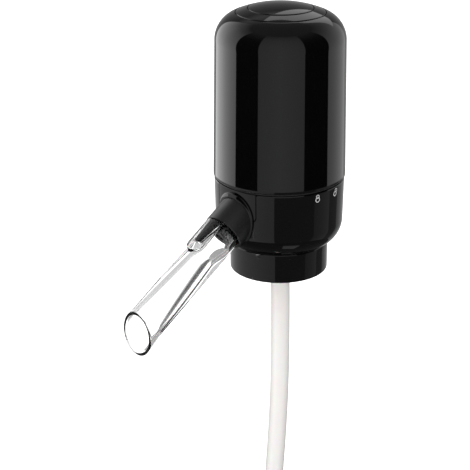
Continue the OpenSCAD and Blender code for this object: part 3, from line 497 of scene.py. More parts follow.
# %% Crown circle
BODY_R, RIM_Z, DRAFT, CASING_WALL = 30.0, 45.3, 0.84, 1.8
SHOULDER_R, CROWN_R, RIM_ROUND, EDGE, BEVEL_SHARE = 12.75, 54.8, 0.5, 0.22, 0.3
lean = math.radians(DRAFT)
side_n = np.array([math.cos(lean), math.sin(lean)])
side_t = np.array([-math.sin(lean), math.cos(lean)])
side_k = BODY_R * side_n[0] + RIM_Z * side_n[1]
crown_c = np.array([0.0, BODY_H - CROWN_R])
# The shoulder's middle lies on a line beside the side, and its circle touches the crown's from inside.
foot = side_n * (side_k - SHOULDER_R) - crown_c
back = foot @ side_t
climb = math.sqrt(back * back - foot @ foot + (CROWN_R - SHOULDER_R) ** 2) - back
shoulder_c = crown_c + foot + side_t * climb
crown_a = math.degrees(math.atan2(*(shoulder_c - crown_c)[::-1]))
print("the shoulder meets the crown at", round(crown_a, 1), "degrees")


def crown_z(r):
    """Height of the crown's circle at radius r."""
    return crown_c[1] + np.sqrt(CROWN_R**2 - np.asarray(r, float) ** 2)


def crown_arc(r0, r1, steps):
    """Points of the crown's circle from radius r0 to r1."""
    r = np.linspace(r0, r1, steps)
    return np.stack([r, crown_z(r)], -1)


def crown_edge(r, outwards):
    """Two points that take the edge off at radius r of the crown, outwards (1) or inwards (-1) of it."""
    z = crown_z(r)
    return [[r, z - EDGE], [r + outwards * BEVEL_SHARE * EDGE, z - BEVEL_SHARE * EDGE]]


# %% [markdown]
# ### The casing's section
#
# The section starts at the hole in the crown, runs over the shoulder, down the side and round the rim,
# and comes back along the inside. A Solidify modifier could make the wall, but the inside is straighter
# than the outside, so it has a few points of its own.

# %% Casing section
RING_R, BUTTON_R, GROOVE = 19.7, 14.3, 0.3
INNER_TOP_R, INNER_KNEE, INNER_LEAN = 23.9, [24.4, 114.0], 0.9
KNEE_Z = 107.0
RIM_CHAMFER, RIM_LEAN = 0.3, 0.008
hole_r = RING_R + GROOVE
inner_rim = BODY_R - CASING_WALL
rim_c = (BODY_R - RIM_ROUND - RIM_LEAN, RIM_Z + RIM_ROUND)
join_r = crown_c[0] + CROWN_R * math.cos(math.radians(crown_a))
casing_section = np.concatenate([
    [[hole_r, GUIDE_Z]],
    crown_edge(hole_r, 1),
    crown_arc(hole_r + EDGE, join_r, 6),
    arc(shoulder_c, SHOULDER_R, crown_a, DRAFT, 40)[1:],
    np.linspace(shoulder_c + SHOULDER_R * side_n, [rim_c[0] + RIM_ROUND, rim_c[1]], 40)[1:],
    arc(rim_c, RIM_ROUND, 0, -90, 10)[1:],
    [[inner_rim + RIM_CHAMFER, RIM_Z], [inner_rim, RIM_Z + RIM_CHAMFER]],
    [[inner_rim - INNER_LEAN, KNEE_Z], INNER_KNEE, [INNER_TOP_R, GUIDE_Z]],
])
casing_mesh = make_mesh("upper_casing_shell", [lathe_shell(casing_section, 256)])
finish_piece(casing_mesh, "upper_casing_shell", "casing", GLOSS_BLACK, ["upper_casing"])

# %% [markdown]
# ## Ring and button
#
# A fixed ring and a round button fill the hole in the crown. The grooves between them could be cut into
# one surface, but the button has to move, so each is a piece of its own with a fine gap round it. Small
# bevels at the gaps catch the light, as on moulded parts.

# %% Ring and button
BUTTON_T, SKIRT_WALL, STEM_R = 2.4, 1.6, 2.6
LEDGE_Z, FLANGE_TOP, FLANGE_LOW = GUIDE_Z + 2.5, GUIDE_Z + 2.2, GUIDE_Z + 1.5
ring_in = BUTTON_R + GROOVE
flange_r, stem_z = BUTTON_R + 2.2, level("power_button", False)
ring_section = np.concatenate([
    [[ring_in, LEDGE_Z]],
    crown_edge(ring_in, 1),
    crown_arc(ring_in + EDGE, RING_R - EDGE, 14),
    crown_edge(RING_R, -1)[::-1],
    [[RING_R, GUIDE_Z], [flange_r + GROOVE, GUIDE_Z], [flange_r + GROOVE, LEDGE_Z]],
])
ring_mesh = make_mesh("button_ring_cap", [lathe_shell(ring_section)])
finish_piece(ring_mesh, "button_ring_cap", "casing", GLOSS_BLACK, ["button_ring"])
button_section = np.concatenate([
    crown_arc(0.0, BUTTON_R - EDGE, 24),
    crown_edge(BUTTON_R, -1)[::-1],
    [[BUTTON_R, FLANGE_TOP], [flange_r, FLANGE_TOP], [flange_r, FLANGE_LOW]],
    [[BUTTON_R - SKIRT_WALL, FLANGE_LOW], [BUTTON_R - SKIRT_WALL, BODY_H - BUTTON_T]],
    [[STEM_R, BODY_H - BUTTON_T], [STEM_R, stem_z], [0.0, stem_z]],
])
button_mesh = make_mesh("power_button_cap", [lathe_shell(button_section)])
finish_piece(button_mesh, "power_button_cap", "button", GLOSS_BLACK, ["power_button"])

# %% [markdown]
# ### The button's spring
#
# A wire spring lifts the button. A rigid solid would stick into the button when it is pressed. Here a
# circle is carried along a helix from the guide plate up to the button, and the piece rides on no body.

# %% Button spring
SPRING_R, WIRE_R, COILS, SPRING_PLAY = 4.4, 0.35, 4, 0.02
foot_z = GUIDE_Z + WIRE_R + SPRING_PLAY
head_z = BODY_H - BUTTON_T - WIRE_R - SPRING_PLAY
COIL_STEPS, WIRE_SIDES = 32, 12
rise = np.linspace(0, 1, COIL_STEPS * COILS + 1)
wind = rise * COILS * 2 * np.pi
helix = np.stack([
    SPRING_R * np.cos(wind), SPRING_R * np.sin(wind), foot_z + (head_z - foot_z) * rise
], -1)
helix_dirs = np.gradient(helix, axis=0)
wire_centres = np.concatenate([helix[:1], helix, helix[-1:]])
wire_dirs = np.concatenate([helix_dirs[:1], helix_dirs, helix_dirs[-1:]])
wire_radii = np.concatenate([[0.0], np.full(len(helix), WIRE_R), [0.0]])
wire = tube_rings(wire_centres, wire_radii, wire_dirs, WIRE_SIDES, beside=(0.0, 0.0, 1.0))
spring_mesh = make_mesh("button_spring_coil", [(wire, grid_faces(len(wire), WIRE_SIDES, wrap_cols=True))])
spring = finish_piece(spring_mesh, "button_spring_coil", None, INNER["steel"], ["button_spring"])
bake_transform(spring)
print("the spring is", round(head_z - foot_z + 2 * WIRE_R, 2), "mm high")

# %% [markdown]
# ## The lower casing and its inlaid saddle
#
# The lower casing is a bowl with a long round at its bottom. Above the spout a panel is let into the
# wall. A turned section alone can't have the panel's bed, so the section comes first, and the bed is
# pressed into the turned surface afterwards.

# %% Bowl outline
SHOULDER_Z, LOWER_R, TAPER = RIM_Z - 0.8, BODY_R - 0.4, 1.18
BOWL_ROUND, ROUND_Z, COLLAR_R, LOWER_WALL, FLOOR_T = 12.2, 24.6, 22.55, 2.0, 2.2
SPIGOT_R, SPIGOT_IN, SPIGOT_TOP = 27.6, 25.4, level("lower_casing")
BARB_HOLE_R, SEAT_IN, SPIGOT_LOW = 3.6, 15.7, SHOULDER_Z - 1.6
tan_taper, cos_taper = math.tan(math.radians(TAPER)), math.cos(math.radians(TAPER))
round_c = LOWER_R - (SHOULDER_Z - ROUND_Z) * tan_taper - BOWL_ROUND / cos_taper


def bowl_r(z):
    """Outer radius of the lower casing at height z: a cone above its tangent point, an arc below it."""
    z = np.asarray(z, float)
    cone = LOWER_R - (SHOULDER_Z - z) * tan_taper
    below = np.clip(ROUND_Z - z, 0, BOWL_ROUND)
    return np.where(z > ROUND_Z, cone, round_c + np.sqrt(BOWL_ROUND**2 - below**2))


print("the bowl is", round(2 * float(bowl_r(ROUND_Z)), 2), "mm across where its round starts")

# %% [markdown]
# ### The bowl's section
#
# The section runs from the floor out to the round, up the side, over the spigot that the upper casing
# turns on, and back down the inside. Rows are close together where the saddle's bed will be pressed in,
# because its edge is only a fine line.

# %% Bowl section
SADDLE_HALF, SADDLE_Z, SADDLE_CORNER, SADDLE_DEEP = 23.0, level("spout_saddle", False) - 0.1, 2.2, 1.0
GIRTH_R, BED_MARGIN, TOP_ROUND, TOP_BEVEL, SEAT_MARGIN, CORE_END = 29.4, 2.5, 0.35, 0.1, 0.5, -58
saddle_w = math.radians(SADDLE_HALF) * GIRTH_R
start_a = math.degrees(math.atan2(SEAT_Z - ROUND_Z, COLLAR_R - round_c))
floor_z = SEAT_Z + FLOOR_T
core = BOWL_ROUND - LOWER_WALL
bed_z = SADDLE_Z - BED_MARGIN
side_z = np.concatenate([
    np.linspace(ROUND_Z, bed_z, 10)[1:], np.linspace(bed_z, SHOULDER_Z - TOP_ROUND, 90)[1:]
])
bowl_section = np.concatenate([
    [[BARB_HOLE_R, SEAT_Z], [SEAT_IN, SEAT_Z], [COLLAR_R - SEAT_MARGIN, SEAT_Z]],
    arc((round_c, ROUND_Z), BOWL_ROUND, start_a, -TAPER, 36),
    np.stack([bowl_r(side_z), side_z], -1),
    [[LOWER_R - TOP_BEVEL, SHOULDER_Z - TOP_BEVEL], [LOWER_R - TOP_ROUND, SHOULDER_Z]],
    [[SPIGOT_R, SHOULDER_Z], [SPIGOT_R, SPIGOT_TOP], [SPIGOT_IN, SPIGOT_TOP], [SPIGOT_IN, SPIGOT_LOW]],
    [[LOWER_R - LOWER_WALL, SPIGOT_LOW]],
    arc((round_c, ROUND_Z), core, -TAPER, CORE_END, 16),
    [[round_c + math.sqrt(core**2 - (ROUND_Z - floor_z) ** 2), floor_z], [BARB_HOLE_R, floor_z]],
])
print("the bowl's section has", len(bowl_section), "points")

# %% [markdown]
# ### The saddle's bed
#
# The bed's edge shows as a fine line round the panel. A Boolean would cut it sharply but leave long thin
# faces, which show in a mirror finish. Here the bowl is turned on a grid that is finer in front, and the
# bed is pressed in: the depth follows the distance to a rectangle with round corners.

# %% Saddle bed
EDGE_RUN, FINE_HALF, SKIN, BED_FLOOR = 0.16, 26, 0.4, 3
front = -math.pi / 2
fine = np.radians(np.linspace(-FINE_HALF, FINE_HALF, 210)) + front
coarse = np.linspace(fine[-1], fine[0] + 2 * np.pi, 124)[1:-1]
bowl_turns = np.concatenate([fine, coarse])


def saddle_distance(turns, z):
    """Distance to the saddle's outline, negative inside: a rectangle, open above, round lower corners."""
    across = np.abs((turns - front + np.pi) % (2 * np.pi) - np.pi) * GIRTH_R
    x = across - saddle_w + SADDLE_CORNER
    y = SADDLE_Z + SADDLE_CORNER - z
    outside = np.hypot(np.maximum(x, 0), np.maximum(y, 0))
    return outside + np.minimum(np.maximum(x, y), 0) - SADDLE_CORNER


bowl = lathe(bowl_section, bowl_turns)
section_r, section_z = bowl_section[:, 0], bowl_section[:, 1]
is_outer = (section_r > bowl_r(section_z) - SKIN) & (section_z > SEAT_Z + BED_FLOOR)
is_outer &= section_z <= SHOULDER_Z
to_edge = saddle_distance(bowl_turns[None, :], section_z[:, None])
gone = np.clip(0.5 - to_edge / EDGE_RUN, 0, 1) * is_outer[:, None]
bowl[..., 0] -= gone * SADDLE_DEEP * np.cos(bowl_turns)[None, :]
bowl[..., 1] -= gone * SADDLE_DEEP * np.sin(bowl_turns)[None, :]
bowl_mesh = make_mesh("lower_casing_bowl", [(bowl, grid_faces(*bowl.shape[:2], True, True))])
print("the bed takes", int((gone > 0.5).sum()), "points of the bowl")

# %% [markdown]
# ## The spout's own frame
#
# Hub, nozzle, tongue and spout share one slanting line. Their shapes are worked out along it, with t
# running outwards from the hub's mouth and a square to it and upwards, and then turned into the
# object's frame. A hole for the hub is cut through the bowl's wall with a Boolean.

# %% Spout frame
HUB_R, HUB_REACH, HUB_Z, SLOPE, HUB_L, HUB_BORE = 9.6, 36.0, 26.2, 30.7, 16.5, 10.0
slope = math.radians(SLOPE)
along = np.array([0.0, -math.cos(slope), -math.sin(slope)])
upward = np.array([0.0, -math.sin(slope), math.cos(slope)])
sideways = np.array([1.0, 0.0, 0.0])
hub_mouth = np.array([0.0, -HUB_REACH, HUB_Z])


def place(x, a, t):
    """A point x across, a above and t along the spout's line, in the object's frame."""
    x, a, t = np.broadcast_arrays(x, a, t)
    return hub_mouth + x[..., None] * sideways + a[..., None] * upward + t[..., None] * along


def spout_lathe(section, steps=128):
    """A closed section of (radius, t) points turned about the spout's line."""
    ring = lathe(section, np.arange(steps) * 2 * np.pi / steps)
    return place(ring[..., 0], ring[..., 1], ring[..., 2]), grid_faces(len(section), steps, True, True)


def carve(mesh, cutter_shells, name):
    """The mesh with the cutter's shells taken away by an exact Boolean."""
    body = bpy.data.objects.new(name, mesh)
    tool = bpy.data.objects.new(name + "_tool", make_mesh(name + "_tool", cutter_shells))
    scene.collection.objects.link(body)
    scene.collection.objects.link(tool)
    cut = body.modifiers.new("cut", "BOOLEAN")
    cut.operation, cut.solver, cut.object = "DIFFERENCE", "EXACT", tool
    bpy.context.view_layer.update()
    done = bpy.data.meshes.new_from_object(body.evaluated_get(bpy.context.evaluated_depsgraph_get()))
    for thing in (body, tool):
        bpy.data.objects.remove(thing)
    return done


HOLE_R, HOLE_BACK, HOLE_FRONT = HUB_R - 0.15, -HUB_L - 0.5, 8.0
hole = np.array([[0.0, HOLE_BACK], [HOLE_R, HOLE_BACK], [HOLE_R, HOLE_FRONT], [0.0, HOLE_FRONT]])
hub_hole = spout_lathe(hole, 96)
bowl_mesh = carve(bowl_mesh, [hub_hole], "lower_casing_bowl")
finish_piece(bowl_mesh, "lower_casing_bowl", "pump_body", GLOSS_BLACK, ["lower_casing"])

# %% [markdown]
# ### The saddle panel
#
# The panel is a thin inlay that fills its bed but for a hair's gap. Cutting it out of the bowl's own
# surface would leave no gap, so it is a sheet of its own: rows follow the round lower corners, columns
# close up towards the sides, and the edge rolls over a little.

# %% Saddle panel
GAP, ROLL_W, ROLL_DEEP, BED_PLAY, PANEL_TOP = 0.13, 0.2, 0.15, 0.1, 0.3
panel_low = SADDLE_Z + GAP
panel_rows = np.concatenate([
    panel_low + SADDLE_CORNER * (1 - np.cos(np.linspace(0, np.pi / 2, 12))),
    np.linspace(panel_low + SADDLE_CORNER, SHOULDER_Z - PANEL_TOP, 30)[1:],
    [SHOULDER_Z - TOP_BEVEL, SHOULDER_Z],
])
rise = np.clip((panel_rows - panel_low) / SADDLE_CORNER, 0, 1)
half_w = saddle_w - GAP - SADDLE_CORNER * (1 - np.sqrt(1 - (1 - rise) ** 2))
u = np.sin(np.linspace(-np.pi / 2, np.pi / 2, 49))
x = half_w[:, None] * u[None, :]
inwards = np.minimum(half_w[:, None] - np.abs(x), (panel_rows - panel_low)[:, None])
roll = np.clip(1 - inwards / ROLL_W, 0, 1) ** 2 * ROLL_DEEP
roll[-1] += TOP_BEVEL


def on_bowl(x, z, out, about=front):
    """A point on the lower casing: x along its girth from an angle, at height z, pushed out by out."""
    r = bowl_r(z) + out
    a = about + x / GIRTH_R
    return np.stack(np.broadcast_arrays(r * np.cos(a), r * np.sin(a), z), -1)


z_rows = np.broadcast_to(panel_rows[:, None], x.shape)
panel_back = on_bowl(x, z_rows, -SADDLE_DEEP + BED_PLAY)[:, ::-1]
panel = np.concatenate([on_bowl(x, z_rows, -roll), panel_back], 1)
loop = panel.shape[1]
caps = np.arange(loop // 2 - 1)
end_cap = np.stack([caps, caps + 1, loop - 2 - caps, loop - 1 - caps], -1)
top_start = (len(panel) - 1) * loop
panel_quads = np.concatenate([grid_faces(len(panel), loop, wrap_cols=True), end_cap, end_cap + top_start])
panel_mesh = make_mesh("saddle_panel", [(panel, panel_quads)])
panel_mesh = carve(panel_mesh, [hub_hole], "saddle_panel")
finish_piece(panel_mesh, "saddle_panel", "pump_body", GLOSS_BLACK, ["spout_saddle"])

# %% [markdown]
# ## Rounded corners
#
# No moulded corner is quite sharp, and its small round is what catches the light. A Bevel modifier
# could round the finished mesh. Rounding the section before it is turned gives each corner a round of
# its own and keeps the grid regular.


# %% Rounding helper
def rounded(corners, radii, steps=6):
    """A closed polygon with each corner replaced by a parabola, which is tangent to both sides.

    It starts and ends where an arc of the corner's radius would: at radius / tan(half the angle)."""
    p = np.asarray(corners, float)
    before = np.roll(p, 1, 0) - p
    after = np.roll(p, -1, 0) - p
    before /= np.linalg.norm(before, axis=1)[:, None]
    after /= np.linalg.norm(after, axis=1)[:, None]
    half = np.arccos(np.clip((before * after).sum(1), -1, 1)) / 2
    radii = np.asarray(radii, float)
    cut = (radii / np.tan(half))[:, None]
    t = np.linspace(0, 1, steps)[None, :, None]
    a, b = (p + before * cut)[:, None], (p + after * cut)[:, None]
    middle = p[:, None]
    curve = (1 - t) ** 2 * a + 2 * t * (1 - t) * middle + t**2 * b
    return curve.reshape(-1, 2)


# %% [markdown]
# ## The hub
#
# The hub is a satin black socket with a lightly rounded mouth. A low bead runs round its foot and
# follows the bowl. A Boolean could show where hub and bowl meet, but not as a clean loop. So for each
# direction round the hub the meeting point is found by halving an interval along the spout's line.
# The bead belongs to the polished casing, so its faces get the glossy finish.

# %% Hub and bead
SPOUT_R, RUN, NOZZLE_HOLE, SHARP = 8.2, 0.3, 5.3, 0.01
bore_r = SPOUT_R + RUN
hub_section = rounded([
    [HUB_R, -HUB_L], [HUB_R, 0], [bore_r, 0],
    [bore_r, -HUB_BORE], [NOZZLE_HOLE, -HUB_BORE], [NOZZLE_HOLE, -HUB_L],
], [SHARP, 0.4, 0.25, SHARP, SHARP, SHARP])
HUB_STEPS, BEAD_STRETCH, BEAD_LOW, BEAD_IN, BEAD_OUT = 160, 1.12, -0.6, 8.5, 10.3
bead_corners = [[BEAD_IN, BEAD_LOW], [BEAD_OUT, BEAD_LOW], [BEAD_OUT, 0.9], [BEAD_IN, 1.0]]
BEAD = rounded(bead_corners, [SHARP, SHARP, 0.5, SHARP], 8)
DEEPEST, HIGHEST, HALVINGS, BEAD_TURN = -14.0, 4.0, 40, 2.2


def bowl_along(radius, around):
    """The t at which a line beside the spout's line meets the bowl's outside, by halving an interval."""
    low, high = np.full(radius.shape, DEEPEST), np.full(radius.shape, HIGHEST)
    x, a = radius * np.cos(around), radius * np.sin(around) * BEAD_STRETCH
    for _ in range(HALVINGS):
        t = (low + high) / 2
        p = place(x, a, t)
        outside = np.hypot(p[..., 0], p[..., 1]) > bowl_r(p[..., 2])
        low, high = np.where(outside, low, t), np.where(outside, t, high)
    return (low + high) / 2


around = (np.arange(HUB_STEPS) * 2 * np.pi / HUB_STEPS)[None, :] + np.zeros((len(BEAD), 1))
bead_radius = BEAD[:, 0][:, None] + np.zeros_like(around)
meets = bowl_along(bead_radius, around)
bead = place(bead_radius * np.cos(around), bead_radius * np.sin(around) * BEAD_STRETCH, meets)
below = np.clip(bead[..., 2] - ROUND_Z, -BOWL_ROUND, 0)
lift = np.stack([bead[..., 0], bead[..., 1], below * BEAD_TURN], -1)
lift /= np.linalg.norm(lift, axis=-1)[..., None]
bead = bead + BEAD[:, 1][:, None, None] * lift
hub_mesh = make_mesh("spout_hub_socket", [
    spout_lathe(hub_section, HUB_STEPS), (bead, grid_faces(len(BEAD), HUB_STEPS, True, True)),
])
finish_piece(hub_mesh, "spout_hub_socket", "pump_body", SATIN_BLACK, ["spout_hub"])
hub_mesh.materials.append(GLOSS_BLACK)
centres = np.empty(len(hub_mesh.polygons) * 3)
hub_mesh.polygons.foreach_get("center", centres)
from_line = centres.reshape(-1, 3) / MM - hub_mouth
from_line -= (from_line @ along)[:, None] * along
is_bead = np.linalg.norm(from_line, axis=1) > HUB_R + 0.02
hub_mesh.polygons.foreach_set("material_index", is_bead.astype(np.int32))
print("bead has", int(is_bead.sum()), "glossy faces")

# %% [markdown]
# ## The air tongue
#
# A flat black tongue leaves the hub above the spout's root and ends in a round tip. Its section is a
# superellipse, which has soft edges everywhere, bent so that its top follows a circle about the spout.
# A bevelled box would do for the sides, but not for the round tip.

# %% Tongue
TONGUE_W, TONGUE_TIP_W, TONGUE_L, TONGUE_LOW, TONGUE_R = 7.0, 4.0, 13.4, 7.4, 9.0
TIP, ROOT_L, SQUARENESS = 1.2, 9.5, 0.3
k = np.linspace(0, 2 * np.pi, 48, endpoint=False)
cx = np.sign(np.cos(k)) * np.abs(np.cos(k)) ** SQUARENESS
cy = np.sign(np.sin(k)) * np.abs(np.sin(k)) ** SQUARENESS


def tongue_half(t):
    """Half of the tongue's width at t: steady inside the hub, then falling evenly to the tip's."""
    return TONGUE_W / 2 + (TONGUE_TIP_W - TONGUE_W) / 2 * np.clip(t / TONGUE_L, 0, 1)


def tongue_shell(t, half, low, top_r):
    """Superellipses across the rows t, from height low up to a circle of top_r, a pole at each end."""
    x = half[:, None] * cx[None, :]
    top = np.sqrt(top_r**2 - x**2)
    a = (low + top) / 2 + cy[None, :] * (top - low) / 2
    rings = place(x, a, t[:, None])
    poles = [row.mean(1, keepdims=True) + 0 * row for row in (rings[:1], rings[-1:])]
    rings = np.concatenate([poles[0], rings, poles[1]])
    return rings, grid_faces(len(rings), len(k), wrap_cols=True)


tip_rows = TONGUE_L - TIP + TIP * np.sin(np.linspace(0, np.pi / 2, 10))
t_rows = np.concatenate([np.linspace(-ROOT_L, TONGUE_L - TIP, 40), tip_rows[1:]])
near_tip = np.clip((t_rows - TONGUE_L + TIP) / TIP, 0, 1)
half_t = tongue_half(t_rows) - TIP * (1 - np.sqrt(1 - near_tip**2))
tongue_mesh = make_mesh("air_tongue_strip", [tongue_shell(t_rows, half_t, TONGUE_LOW, TONGUE_R)])
finish_piece(tongue_mesh, "air_tongue_strip", "pump_body", GRAINED, ["air_tongue"])

# %% [markdown]
# ## The clear spout
#
# The spout is one clear moulding. Its bore is a socket for the nozzle, then a waist, then a long flare
# to the mouth, which is cut by an upright plane. A ridge on its back makes room for the tongue. Joined
# solids would leave steps that refract as dark flecks, so the outside is one radius that depends on the
# direction and on t, and the ridge rises out of it smoothly.

# %% Spout radii
SPOUT_REACH, MOUTH_R, MOUTH_WALL, NECK_R = 88.4, 7.4, 1.3, 4.1
SOCKET_R, SOCKET_T, NECK_T, PLAIN_T = 5.97, 4.1, 16.5, 20.0
RIDGE_R, RIDGE_HALF, RIDGE_L, RIDGE_BACK, RIDGE_SLOPE = 9.9, 4.6, 19.0, 0.35, 1.0
mouth_t = (SPOUT_REACH - HUB_REACH) / math.cos(slope)
flare = (MOUTH_R - NECK_R) / (mouth_t - NECK_T)
phi = np.concatenate([np.linspace(-45, 45, 91)[:-1], np.linspace(45, 315, 151)[:-1]]) * math.pi / 180


def bore_radius(t):
    """Radius of the bore at t: a socket, a throat that narrows smoothly to the neck, and the flare."""
    step = np.clip((t - SOCKET_T) / (NECK_T - SOCKET_T), 0, 1)
    throat = SOCKET_R + (NECK_R - SOCKET_R) * step**2 * (3 - 2 * step)
    return np.where(t < NECK_T, throat, NECK_R + flare * np.maximum(t - NECK_T, 0))


def outer_radius(around, t):
    """Outside radius: the tube, its flare at the mouth, and the ridge where the ridge's plan covers it."""
    tube = np.maximum(SPOUT_R, bore_radius(np.maximum(t, PLAIN_T)) + MOUTH_WALL)
    underside = np.cos(around) < 0
    across = np.abs(RIDGE_R * np.sin(around)) + 2 * RIDGE_R * underside
    past = np.maximum(t - (RIDGE_L - RIDGE_HALF), 0)
    plan = np.maximum(np.hypot(across, past) - RIDGE_HALF, RIDGE_BACK - t)
    cover = np.clip(0.5 - plan / RIDGE_SLOPE, 0, 1)
    return tube + cover**2 * (3 - 2 * cover) * np.maximum(RIDGE_R - tube, 0)


def cut_t(a):
    """The t at which height a above the line meets the mouth's upright plane."""
    return (SPOUT_REACH - HUB_REACH - a * math.sin(slope)) / math.cos(slope)


print("the spout's mouth lies", round(mouth_t, 1), "mm along its line")

# %% [markdown]
# ### The spout's skin
#
# Clear plastic shows its inside and its outside, so the skin runs along the outside, over the lip and
# back through the bore, as one closed grid. Rows are close together where the ridge ends. Up to a
# steady place they lie square to the line, and from there they lean over to meet the upright mouth. The
# lip's edges are rounded a little, because the round is what draws the mouth as a dark line.

# %% Spout skin
STEADY, LIP_ROUND = 44.0, 0.22
LIP_SHARE = np.array([0.05, 0.17, 0.4, 0.6, 0.83, 0.95])[:, None]
LIP_SINK = np.array([0.08, 0.0, 0.0, 0.0, 0.0, 0.06])[:, None]
t_near = np.concatenate([
    [-ROOT_L], np.linspace(-ROOT_L + 0.3, -0.6, 8), np.linspace(-0.3, 13.2, 44),
    np.linspace(13.4, 20.4, 60), np.linspace(21.0, STEADY, 26),
])
share = np.linspace(0, 1, 22)[1:]
around = phi[None, :]
lip_out = MOUTH_R + MOUTH_WALL
t_far = STEADY + share[:, None] * (cut_t(lip_out * np.cos(around)) - LIP_ROUND - STEADY)
t_outer = np.concatenate([t_near[:, None] + 0 * around, t_far])
r_outer = outer_radius(around + 0 * t_outer, t_outer)
r_end, r_in_end = r_outer[-1:], bore_radius(cut_t(MOUTH_R * np.cos(around)))
r_lip = r_end + (r_in_end - r_end) * LIP_SHARE
t_lip = cut_t(r_lip * np.cos(around)) - LIP_SINK
t_far_in = STEADY + share[::-1, None] * (cut_t(r_in_end * np.cos(around)) - LIP_ROUND - STEADY)
t_inner = np.concatenate([t_far_in, np.linspace(STEADY, -ROOT_L, 120)[:, None] + 0 * around])
t_all = np.concatenate([t_outer, t_lip, t_inner])
r_all = np.concatenate([r_outer, r_lip, bore_radius(t_inner)])
spout = place(r_all * np.sin(around), r_all * np.cos(around), t_all)
spout_mesh = make_mesh("clear_spout_tube", [(spout, grid_faces(len(spout), len(phi), True, True))])
print("the spout's skin has", spout.shape[0], "rows")

# %% [markdown]
# ### The pocket for the tongue
#
# The ridge is hollow, and the spout slides off over the tongue. The pocket could be part of the skin's
# formula, but it opens at the root only, so a solid like the tongue, a little wider, is taken away with
# a Boolean.

# %% Tongue pocket
POCKET_BACK, POCKET_END, POCKET_ROUND = 2.0, 0.6, 1.8
pocket_rows = np.linspace(-ROOT_L - POCKET_BACK, TONGUE_L + POCKET_END, 30)
end = np.clip((pocket_rows - TONGUE_L + TIP) / POCKET_ROUND, 0, 1)
pocket_half = tongue_half(pocket_rows) + RUN - TIP * (1 - np.sqrt(1 - end**2))
pocket = tongue_shell(pocket_rows, pocket_half, TONGUE_LOW - RUN, TONGUE_R + RUN)
spout_mesh = carve(spout_mesh, [pocket], "clear_spout_tube")
finish_piece(spout_mesh, "clear_spout_tube", "spout", CLEAR, ["clear_spout"])

# %% [markdown]
# ## Collar and seal
#
# The collar is a plain ring that goes over the bottle's mouth, with a small round at its lower edge and
# a flat rubber seal inside. Two cylinders with a Bevel would look alike. The turned section also gets
# points along its long sides, so that the faces stay near to square.


# %% Collar and seal
def dense(section, longest):
    """A closed section with points added so that no side is longer than longest."""
    ends = np.roll(section, -1, 0)
    count = np.maximum(1, np.ceil(np.linalg.norm(ends - section, axis=1) / longest)).astype(int)
    start = np.repeat(section, count, 0)
    step = np.repeat((ends - section) / count[:, None], count, 0)
    index = np.arange(count.sum()) - np.repeat(np.cumsum(count) - count, count)
    return start + step * index[:, None]


BOTTLE_R, LEAD_IN, LONGEST_SIDE = 15.75, 1.2, 3.0
SEAL_IN, SEAL_R, SEAL_T = 9.5, 15.65, 3.0
collar_top = SEAT_Z - 0.05
collar_section = dense(rounded([
    [BOTTLE_R, LEAD_IN], [BOTTLE_R + LEAD_IN, 0], [COLLAR_R, 0],
    [COLLAR_R, collar_top], [BOTTLE_R, collar_top],
], [0.3, 0.2, 0.5, 0.45, SHARP]), LONGEST_SIDE)
collar_mesh = make_mesh("bottle_collar_ring", [lathe_shell(collar_section)])
finish_piece(collar_mesh, "bottle_collar_ring", "pump_body", GLOSS_BLACK, ["bottle_collar"])
seal_low = SEAT_Z - SEAL_T
seal_corners = [[SEAL_IN, seal_low], [SEAL_R, seal_low], [SEAL_R, collar_top], [SEAL_IN, collar_top]]
seal_section = rounded(seal_corners, [0.5, 0.3, 0.1, 0.1])
seal_mesh = make_mesh("bottle_seal_ring", [lathe_shell(seal_section, 128)])
finish_piece(seal_mesh, "bottle_seal_ring", "pump_body", RUBBER, ["bottle_seal"])

# %% [markdown]
# ## The lock marks
#
# A closed and an open padlock are printed under the seam. An image could carry them, but all finishes
# here are procedural, and a print has a little thickness. Each mark is a small ring over a larger one,
# laid onto the bowl's girth. The open one has its shackle moved to the side.

# %% Lock marks
MARK_Z, MARK_H, MARK_OUT, MARK_STEPS = SHOULDER_Z - 2.6, 3.6, 0.12, 48
CLOSED_AT, OPEN_AT, OPEN_SHIFT = -12.0, 10.0, 0.22
# Rise, outer and inner radius of a padlock's body and of its shackle, as shares of the mark's height.
LOCK_BODY, SHACKLE = (-0.18, 0.315, 0.24), (0.24, 0.235, 0.175)


def mark_ring(angle, shift, shares):
    """A flat ring on the bowl: four loops, inner and outer, at the surface and raised."""
    rise, r_out, r_in = MARK_H * np.array(shares)
    ring = np.linspace(0, 2 * np.pi, MARK_STEPS, endpoint=False)[None, :]
    r = np.array([r_in, r_in, r_out, r_out])[:, None]
    out = np.array([0.0, MARK_OUT, MARK_OUT, 0.0])[:, None] + 0 * ring
    x, z = shift * MARK_H + r * np.cos(ring), MARK_Z + rise + r * np.sin(ring)
    return on_bowl(x, z, out, math.radians(angle)), grid_faces(len(r), MARK_STEPS, True, True)


shells = []
for angle, shift in ((CLOSED_AT, 0.0), (OPEN_AT, OPEN_SHIFT)):
    shells += [mark_ring(angle, 0.0, LOCK_BODY), mark_ring(angle, shift, SHACKLE)]
mark_mesh = make_mesh("lock_mark_prints", shells)
finish_piece(mark_mesh, "lock_mark_prints", "pump_body", MARK, ["lock_marks"])

# %% [markdown]
# ## Surroundings
#
# A glossy black body shows little but its surroundings. A picture of a room could be wrapped round it,
# but a product on white has no room behind it. So the world is an even white: at strength 1 for the
# camera and for mirrored or refracted rays, and a little lower for the light on the surfaces.


